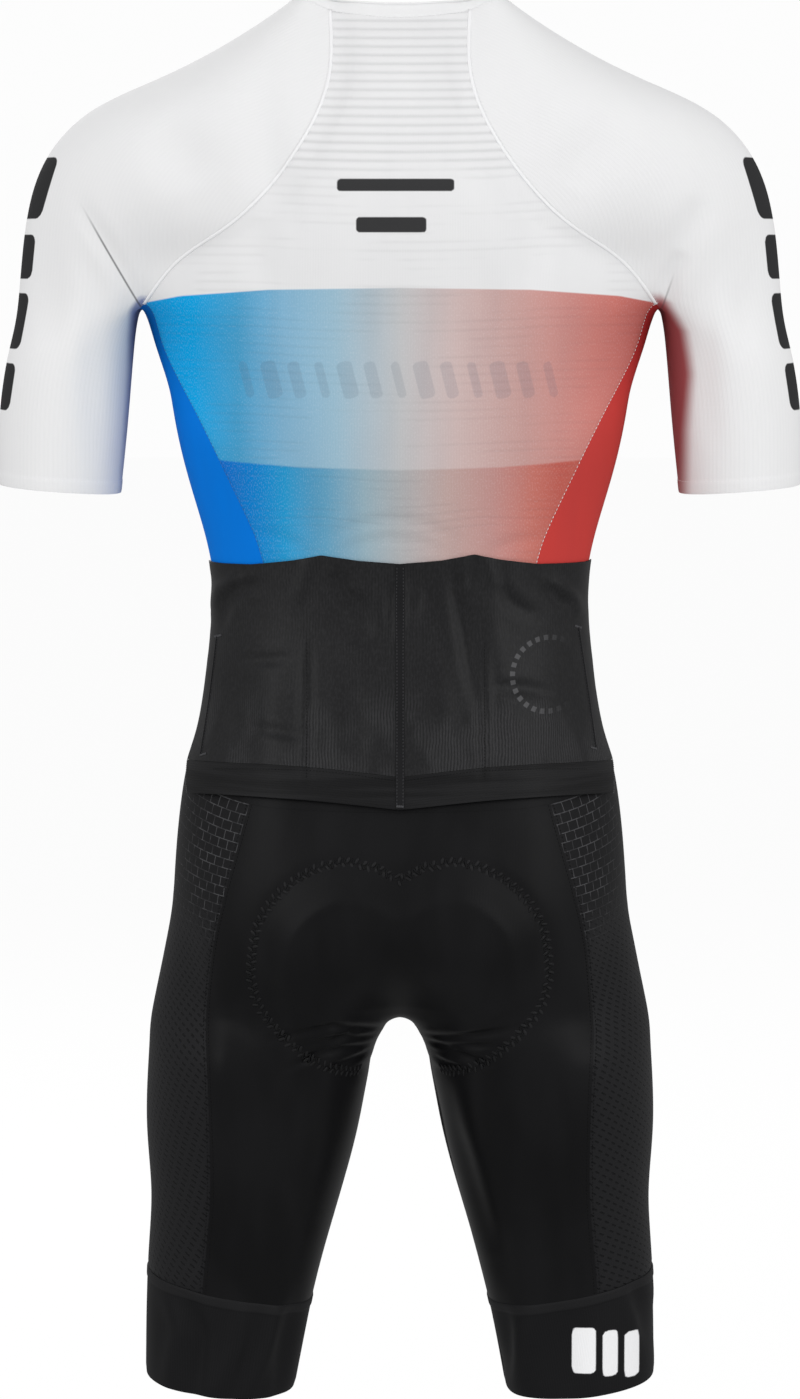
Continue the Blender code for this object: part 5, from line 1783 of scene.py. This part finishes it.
# painted highlight: the bulges beside the zigzag's stitches take the lighter lycra
thread("pad_puckers", [puckers(PAD_SEAM, PAD_PITCH, PAD_THROW)], .0026, .0009, PUCKER_HIGHLIGHT_CLOTH,
       "black_knit")
SHORTS_SEAMS = [seam(SIDE, column, side, WAIST_ROW, CUFF_ROW) for side in (1, -1)
                for column in (0, UNDER_COLS)]
thread("shorts_seam_stitches", rows_beside(SHORTS_SEAMS, .0026, (-.0022, .0022)), .0004, .0004,
       *ON_BLACK)
CUFF_LINES = [around([BACK, SIDE, FRONT, INNER], CUFF_ROW + STRIP_HEIGHT / CUFF_RING, side)
              for side in (1, -1)]
thread("cuff_stitches", [zigzag(line, .0024, .0012) for line in CUFF_LINES], .0004, .0005, *ON_TAIL)

# %% [markdown]
# ## The tail's strip and its sewing
#
# A narrow strip covers the seam down the middle of the tail. It is a sheet like the others, laid
# on the tail by level rays, and both its long edges are turned under. The tail is stitched on
# both sides of the strip, down the pocket's dividers, along the hem and along the edges of the
# two side openings, whose ends are barred with close stitches so they can't tear.

# %% Lay the strip and sew the tail
def sheet_on(tree, xs, zs, facing=1):
    """A grid of points and normals where level rays from behind, or in front, meet the cloth."""
    points, normals = [], []
    for z in zs:
        hits = [tree.ray_cast(Vector((x, facing, z)), Vector((0, -facing, 0)))[:2] for x in xs]
        if all(spot for spot, _ in hits):
            points += [spot[:] for spot, _ in hits]
            normals += [(normal if normal.y * facing > 0 else -normal)[:] for _, normal in hits]
    return np.array(points), np.array(normals)


def strip_piece(name, node, tree, profile, zs, wall, finish, facing=1):
    """A narrow sheet down the middle of the cloth. The profile gives, across the sheet, each
    column's place beside the middle, its height over the cloth and which way it faces."""
    beside, height, side, up = np.array(profile).T
    points, normals = sheet_on(tree, beside, zs, facing)
    rows, columns = len(points) // len(beside), len(beside)
    points = points + normals * np.tile(height, rows)[:, None]
    normals = normals * np.tile(up, rows)[:, None]
    normals[:, 0] += np.tile(side, rows)
    quads = grid_quads(rows, columns)
    across, fall = measure_grid(points.reshape(rows, columns, 3))
    wide = across.mean(0)
    cloth = np.stack(np.meshgrid(wide - wide.mean(), fall), 2).reshape(-1, 2)[quads]
    thing = put(name, shell(name, quads, cloth, points, normals, wall / 2, -wall / 2, 0),
                finish)
    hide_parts(node)
    print(name, "is cut", round(wide[-1] * 1000, 1), "mm by", round(fall[-1] * 1000), "mm")
    return points.reshape(rows, columns, 3), normals.reshape(rows, columns, 3)


tail_points = np.concatenate([points for points, _ in TAIL_SHEETS])
tail_quads = np.concatenate([TAIL_SHEETS[0][1], TAIL_SHEETS[1][1] + len(TAIL_SHEETS[0][0])])
TAIL_TREE = BVHTree.FromPolygons([Vector(spot) for spot in tail_points], tail_quads.tolist())
STRIP_CLOTH = lycra_finish("strip_knit", (.0078, .0078, .0084, 1), 0.55)
TURNED_EDGE = [(.0007, .00020, 0, -1), (.0017, .00018, 0, -1), (.0026, .00018, .2, -1),
               (.0029, .00040, 1, 0), (.0026, .00062, .2, 1), (.0014, .00062, 0, 1)]
STRIP_PROFILE = [(-x, high, -side, up) for x, high, side, up in TURNED_EDGE] \
    + [(0, .00062, 0, 1)] + TURNED_EDGE[::-1]
strip_piece("tail_strip_cloth", "tail_strip", TAIL_TREE, STRIP_PROFILE,
            np.linspace(tail_top_z(0) - .0006, tail_hem_z(0) + .0006, 110), .00026, STRIP_CLOTH)


def lifted(line, height):
    """The same line, moved out from the cloth."""
    points, normals = line
    return points + normals * height, normals


def on_tail(lines, step=.0015, height=0.0):
    """Lines laid on the tail. One that misses its cloth is left out."""
    laid = [on_cloth(line, TAIL_TREE, step) for line in lines]
    return [lifted(line, height) for line in laid if len(line[0]) > 2]


STRIP_LINES = [[(x, tail_top_z(0) - .0020), (x, tail_hem_z(0) + .0020)] for x in (-.0021, .0021)]
thread("tail_strip_stitches", rows_beside(on_tail(STRIP_LINES, height=.0007), .0024), .0004, .0004,
       *ON_TAIL)
TAIL_LINES = [[(.0650, -.4450), (.0650, -.5380)], [(-.0590, -.4450), (-.0590, -.5380)],
              [(x, tail_hem_z(x) + TAIL_HEM_BAND - .0015) for x in np.linspace(-.132, .132, 60)]]
thread("tail_stitches", rows_beside(on_tail(TAIL_LINES), .0023), .0004, .0004, BLACK_THREAD,
       "charcoal_knit")
OPENINGS = on_tail([[(.1298, -.4456), (.1345, -.4848), (.1410, -.5278)],
                    [(-.1262, -.4385), (-.1335, -.4856), (-.1385, -.5230)]])
put_welts("tail_opening_welts", OPENINGS, .0018, .0006, STRIP_CLOTH, "charcoal_knit")
thread("tail_opening_stitches", rows_beside(OPENINGS, .0021, (-.0014, .0014)), .0004, .0004,
       *ON_TAIL)
OPENING_BARS = [[(.1262, -.4440), (.1318, -.4462)], [(.1370, -.5268), (.1415, -.5288)],
                [(-.1235, -.4372), (-.1285, -.4394)], [(-.1345, -.5222), (-.1390, -.5240)]]
STRIP_BARS = [[(x, tail_hem_z(0) + up), (-x, tail_hem_z(0) + up)]
              for x, up in ((.0032, .0012), (.0025, .0036))]
BARS = on_tail(OPENING_BARS, .0008) + on_tail(STRIP_BARS, .0008, .0006)
thread("bar_stitches", [zigzag(line, .0008, .0020) for line in BARS], .0005, .0005, *ON_TAIL)


def tail_edge(side, first, last):
    """Points and normals down the tail's side edge, between two heights."""
    edge = tail_points[np.abs(tail_points[:, 2] - (first + last) / 2) < abs(first - last) / 2]
    spots = []
    for z in np.arange(first, last, -.0012):
        row = edge[np.abs(edge[:, 2] - z) < .0016]
        if len(row):
            spots.append(row[np.argmax(row[:, 0] * side)])
    spots = np.array(spots)
    spots[:, 2] = np.linspace(first, last, len(spots))
    return spots, np.tile(np.array([side * .75, .66, 0]), (len(spots), 1))


thread("overlock_stitches", [zigzag(tail_edge(side, -.5345, -.5560), .0018, .0010, .0003 * side)
                             for side in (1, -1)], .0003, .0003, *ON_TAIL_EDGE)

# %% [markdown]
# ## The zip
#
# The front closes with a zip, which the photograph doesn't show, so it is a plain one: a woven
# tape, two rows of nylon teeth, a slider and a long thin pull. The teeth are copies of the
# stitch's grain, laid across the middle from either side in turn.

# %% Lay the tape and the teeth
ZIP_END_Z, TAPE_HALF, TAPE_GAP, TAPE_WALL, TEETH_RISE = -.470, .0075, .0003, .0005, .0013
TEETH_PITCH, TOOTH_WIDTH, TOOTH_SHORT, TOOTH_LONG = .0015, .0011, .0003, .0026


def tape_finish(name):
    finish = Finish(name, Roughness=0.75, Specular_IOR_Level=0.15)
    _, across, down = finish.cloth()
    slant = (abs(across) + down).wave(.0012)
    return finish.done(finish.mix(slant * .35, (.62, .62, .63, 1), (.40, .40, .42, 1)),
                       slant * .00006)


def plastic_finish(name, colour):
    finish = Finish(name, Roughness=0.45, Specular_IOR_Level=0.4)
    return finish.done(finish.mix(finish.noise(700.0) * .3, colour, scaled(colour, .7)))


zip_top_z = seam(FRONT, FRONT_COLS, 1, 0, WAIST_ROW)[0][0][2]
tape_points, tape_normals = strip_piece(
    "zip_tape_woven", "zip_tape", SKIN_TREE,
    [(x, TAPE_GAP + TAPE_WALL / 2, 0, 1) for x in np.linspace(-TAPE_HALF, TAPE_HALF, 9)],
    np.arange(zip_top_z - .0004, ZIP_END_Z, -.0030), TAPE_WALL, tape_finish("zip_tape_weave"),
    -1)
tape_middle = lifted((tape_points[1:, 4], tape_normals[1:, 4]), TAPE_WALL / 2 + .0002)
teeth = []
for side in (1, -1):
    spots, aside, ups = stations(*tape_middle, TEETH_PITCH)
    spots = spots + np.gradient(spots, axis=0) * side / 4
    teeth.append((spots - aside * side * TOOTH_SHORT, spots + aside * side * TOOTH_LONG, ups))
teeth_piece = thread("zip_teeth", teeth, TOOTH_WIDTH, TEETH_RISE,
                     plastic_finish("zip_nylon", (.50, .50, .51, 1)), "zip_coil")
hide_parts("zip_coil")

# %% [markdown]
# The slider and the pull are modelled flat, with x across, y up the zip and z out of it, and then
# set in their place. The pull hangs from the slider's arch and turns on it, so it rides on its
# own body.

# %% Model the slider and the pull
SLIDER_DROP, SLIDER_LIFT, SLIDER_SIZE = .0080, .0006, (.0078, .0110, .0030)
SLIDER_TOP = SLIDER_LIFT + SLIDER_SIZE[2]
ARCH_HALF, ARCH_INNER, ARCH_OUTER, ARCH_SINK = .0012, (.0017, .0022), (.0033, .0030), .0004
PULL_WIDE, PULL_LONG, PULL_WALL, PULL_EYE = .0062, .0280, .0010, (.0038, .0035)
PIVOT_RISE = .00115                                       # the pull's axis above the slider


def metal_finish(name):
    finish = Finish(name, Metallic=0.85, Roughness=0.34)
    worn = finish.noise(320.0, detail=4.0)
    finish.set("Roughness", worn * .18 + .26)
    return finish.done(finish.mix(worn.ease(.35, .7), (.085, .085, .09, 1), (.16, .16, .17, 1)))


def zip_place():
    """The slider's own axes: x across, y up the zip, z out of it."""
    above, below = seam(FRONT, FRONT_COLS, 1, 0, .5)[0][[0, -1]]
    up = (above - below) / np.linalg.norm(above - below)
    out = np.cross((1, 0, 0), up)
    origin = above - up * SLIDER_DROP + out * (TAPE_GAP * 2 + TAPE_WALL + TEETH_RISE)
    return origin, np.array([(1, 0, 0), up, out])


def settle(thing, name, node, body):
    """Recalculate normals, move the mesh into place and let the piece ride on its body."""
    with edit_mode("SELECT"):
        bpy.ops.mesh.remove_doubles(threshold=0.00001)
        bpy.ops.mesh.normals_make_consistent(inside=False)
    for modifier in list(thing.modifiers):
        bpy.ops.object.modifier_apply(modifier=modifier.name)
    bpy.ops.object.shade_smooth_by_angle(angle=math.radians(40))
    origin, axes = zip_place()
    placed = read_vectors(thing.data.vertices, "co", 3) @ axes + origin
    thing.data.vertices.foreach_set("co", placed.astype(np.float32).ravel())
    thing.name = thing.data.name = name
    thing.data.materials.clear()
    thing.data.materials.append(ZIP_METAL)
    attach(thing, body)
    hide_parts(node)
    print(name, len(thing.data.polygons), "faces")


def bevel(thing, width, segments=3):
    rounding = thing.modifiers.new("rounding", "BEVEL")
    rounding.width, rounding.segments = width, segments
    rounding.limit_method, rounding.angle_limit = "ANGLE", math.radians(35)


def model_slider():
    """The slider: a cushion that is wide at the top and narrow below."""
    begin()
    bpy.ops.mesh.primitive_cube_add(size=1, location=(0, 0, 0))
    slider = bpy.context.object
    with edit_mode("SELECT"):
        bpy.ops.mesh.subdivide(number_cuts=3)
    for vert in slider.data.vertices:
        x, y, z = vert.co
        waist = 1 - 0.26 * (0.5 - y) - 0.06 * math.cos(math.pi * y)
        crown = 0.08 * math.cos(math.pi * x) * math.cos(math.pi * y) if z > .49 else 0
        vert.co = (x * SLIDER_SIZE[0] * waist, y * SLIDER_SIZE[1],
                   SLIDER_LIFT + (z + .5 - .08 + crown) * SLIDER_SIZE[2])
    bevel(slider, .0005)
    return slider


def model_arch():
    """The arch on the slider: a flat strip, turned half a round about the pull's axis."""
    begin()
    bpy.ops.mesh.primitive_plane_add(size=1, location=(0, 0, 0))
    arch = bpy.context.object
    for vert in arch.data.vertices:
        vert.co = (vert.co.x * 2 * ARCH_HALF, 1.5 + vert.co.y, 0)
    with edit_mode("SELECT"):
        bpy.ops.mesh.spin(steps=12, angle=math.pi, center=(0, 0, 0), axis=(1, 0, 0))
    for vert in arch.data.vertices:
        turn = math.atan2(abs(vert.co.z), vert.co.y)
        long, high = ARCH_INNER if math.hypot(vert.co.y, vert.co.z) < 1.5 else ARCH_OUTER
        vert.co.y = long * math.cos(turn)
        vert.co.z = SLIDER_TOP - ARCH_SINK + (high + ARCH_SINK) * math.sin(turn)
    return arch


def model_pull():
    """The pull: a flat tab with narrowed ends and an eye near its top."""
    begin()
    bpy.ops.mesh.primitive_grid_add(x_subdivisions=5, y_subdivisions=13, size=1)
    pull = bpy.context.object
    eye_half, eye_top, eye_low = PULL_EYE[0] / 2, -PULL_WALL / 2, -PULL_WALL / 2 - PULL_EYE[1]
    pull_x = [-PULL_WIDE / 2, -eye_half, -.0007, .0007, eye_half, PULL_WIDE / 2]
    pull_y = [-PULL_LONG, -PULL_LONG + .0008, -PULL_LONG + .0022, -.0230, -.0200, -.0170, -.0140,
              -.0110, -.0085, -.0065, eye_low - .0010, eye_low, eye_top, PULL_WALL / 2]
    grid_x = sorted({round(vert.co.x, 4) for vert in pull.data.vertices})
    grid_y = sorted({round(vert.co.y, 4) for vert in pull.data.vertices})
    for vert in pull.data.vertices:
        column, row = grid_x.index(round(vert.co.x, 4)), grid_y.index(round(vert.co.y, 4))
        narrow = {0: .62, 1: .86, len(grid_y) - 1: .90}.get(row, 1 if row > 8 or row < 4 else .90)
        vert.co = (pull_x[column] * narrow, pull_y[row], SLIDER_TOP + PIVOT_RISE)
    with edit_mode("DESELECT"):
        bpy.ops.mesh.select_mode(type="FACE")
    for face in pull.data.polygons:
        face.select = abs(face.center.x) < eye_half and eye_low < face.center.y < eye_top
    bpy.ops.object.mode_set(mode="EDIT")
    bpy.ops.mesh.delete(type="FACE")
    bpy.ops.object.mode_set(mode="OBJECT")
    wall = pull.modifiers.new("wall", "SOLIDIFY")
    wall.thickness, wall.offset = PULL_WALL, 0
    bevel(pull, .00022, 2)
    return pull


ZIP_METAL = metal_finish("zip_gunmetal")
slider, arch = model_slider(), model_arch()
begin()
arch.select_set(True)
slider.select_set(True)
bpy.context.view_layer.objects.active = slider
bpy.ops.object.join()
settle(slider, "zip_slider_metal", "zip_slider", "suit")
settle(model_pull(), "zip_pull_metal", "zip_pull", "zip_pull")

# %% [markdown]
# ## The seat pad
#
# The pad is foam under soft cloth, sewn inside the shorts, and only its inner side can be seen,
# through the leg hems and the neck. It is padded, so it gets a short cloth simulation: the packed
# solid is remeshed evenly and lightly blown up, no point moves more than a millimetre and a half,
# and no point comes nearer to the outside than the shorts' cloth. Its sewn channels are pressed
# in afterwards.


# %% Blow up the seat pad
PAD_VOXEL, PAD_CAP, PAD_CLEAR, PAD_PRESSURE, PAD_FRAMES = 0.0035, 0.0015, 0.0035, 4.0, 20
CHANNEL_DEPTH, PAD_MIDDLE = 0.0016, (0, 0, -.66)
CHANNELS = [[(.024, -.600), (.030, -.660), (.020, -.728)],
            [(.066, -.626), (.070, -.670), (.052, -.716)]]


def even_pad():
    """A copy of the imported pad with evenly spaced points."""
    begin()
    solid = next(thing for thing in bpy.data.objects if thing.name == "seat_pad")
    pad = bpy.data.objects.new("seat_pad_foam", solid.data.copy())
    bpy.context.scene.collection.objects.link(pad)
    bpy.context.view_layer.objects.active = pad
    pad.select_set(True)
    with edit_mode("SELECT"):
        bpy.ops.mesh.remove_doubles(threshold=0.00002)
    remesh = pad.modifiers.new("even", "REMESH")
    remesh.mode, remesh.voxel_size = "VOXEL", PAD_VOXEL
    bpy.ops.object.modifier_apply(modifier="even")
    return pad


def blow_up(pad):
    """Let pressure puff the pad up. Gives how far each point moves."""
    start = read_vectors(pad.data.vertices, "co", 3)
    puff = pad.modifiers.new("puff", "CLOTH")
    puff.settings.use_pressure = True
    puff.settings.uniform_pressure_force = PAD_PRESSURE
    puff.settings.effector_weights.gravity = 0.0
    puff.point_cache.frame_start, puff.point_cache.frame_end = 1, PAD_FRAMES
    for moment in range(1, PAD_FRAMES + 1):
        bpy.context.scene.frame_set(moment)
    bpy.ops.object.modifier_apply(modifier="puff")
    bpy.context.scene.frame_set(1)
    return start, read_vectors(pad.data.vertices, "co", 3) - start


def pad_shape(points, normals):
    """Keep the points clear of the shorts' cloth and press the sewn channels in."""
    for index, spot in enumerate(points):
        near, _, face, _ = SKIN_TREE.find_nearest(Vector(spot))
        outwards = Vector(NORMALS[QUADS[face]].mean(0)).normalized()
        depth = (near - Vector(spot)).dot(outwards)
        if depth < PAD_CLEAR:
            points[index] -= np.array(outwards) * (PAD_CLEAR - depth)
    lines = [Fold(1, .0040, 1.0, [(side * x, z) for x, z in line])
             for line in CHANNELS for side in (1, -1)]
    channel = np.clip(fold_relief(points, lines), 0, 1)
    inner_side = (normals * (points - PAD_MIDDLE)).sum(1) < 0
    return points - normals * (CHANNEL_DEPTH * channel * inner_side)[:, None]


def foam_finish(name):
    finish = Finish(name, Roughness=0.9, Specular_IOR_Level=0.1, Sheen_Weight=0.15)
    cloud = finish.noise(40.0).ease(.4, .6)
    return finish.done(finish.mix(cloud, (.024, .042, .10, 1), (.034, .058, .125, 1)),
                       finish.noise(420.0) * .0002)


pad = even_pad()
pad_start, moved = blow_up(pad)
far = np.linalg.norm(moved, axis=1)[:, None]
moved *= np.minimum(1, PAD_CAP / np.maximum(far, 1e-9))
shaped = pad_shape(pad_start + moved, read_vectors(pad.data.vertex_normals, "vector", 3))
pad.data.vertices.foreach_set("co", shaped.astype(np.float32).ravel())
soften = pad.modifiers.new("soften", "SUBSURF")
soften.levels = soften.render_levels = 1
bpy.ops.object.modifier_apply(modifier="soften")
pad.data.shade_smooth()
pad.data.materials.clear()
pad.data.materials.append(foam_finish("pad_cover"))
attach(pad, "suit")
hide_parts("seat_pad")
print("seat pad:", len(pad.data.polygons), "faces, moved at most",
      round(float(far.max()) * 1000, 2), "mm before the cap")

# %% [markdown]
# Last, the cage that shaped the skin goes.

# %% Remove the cage
bpy.data.objects.remove(cage, do_unlink=True)
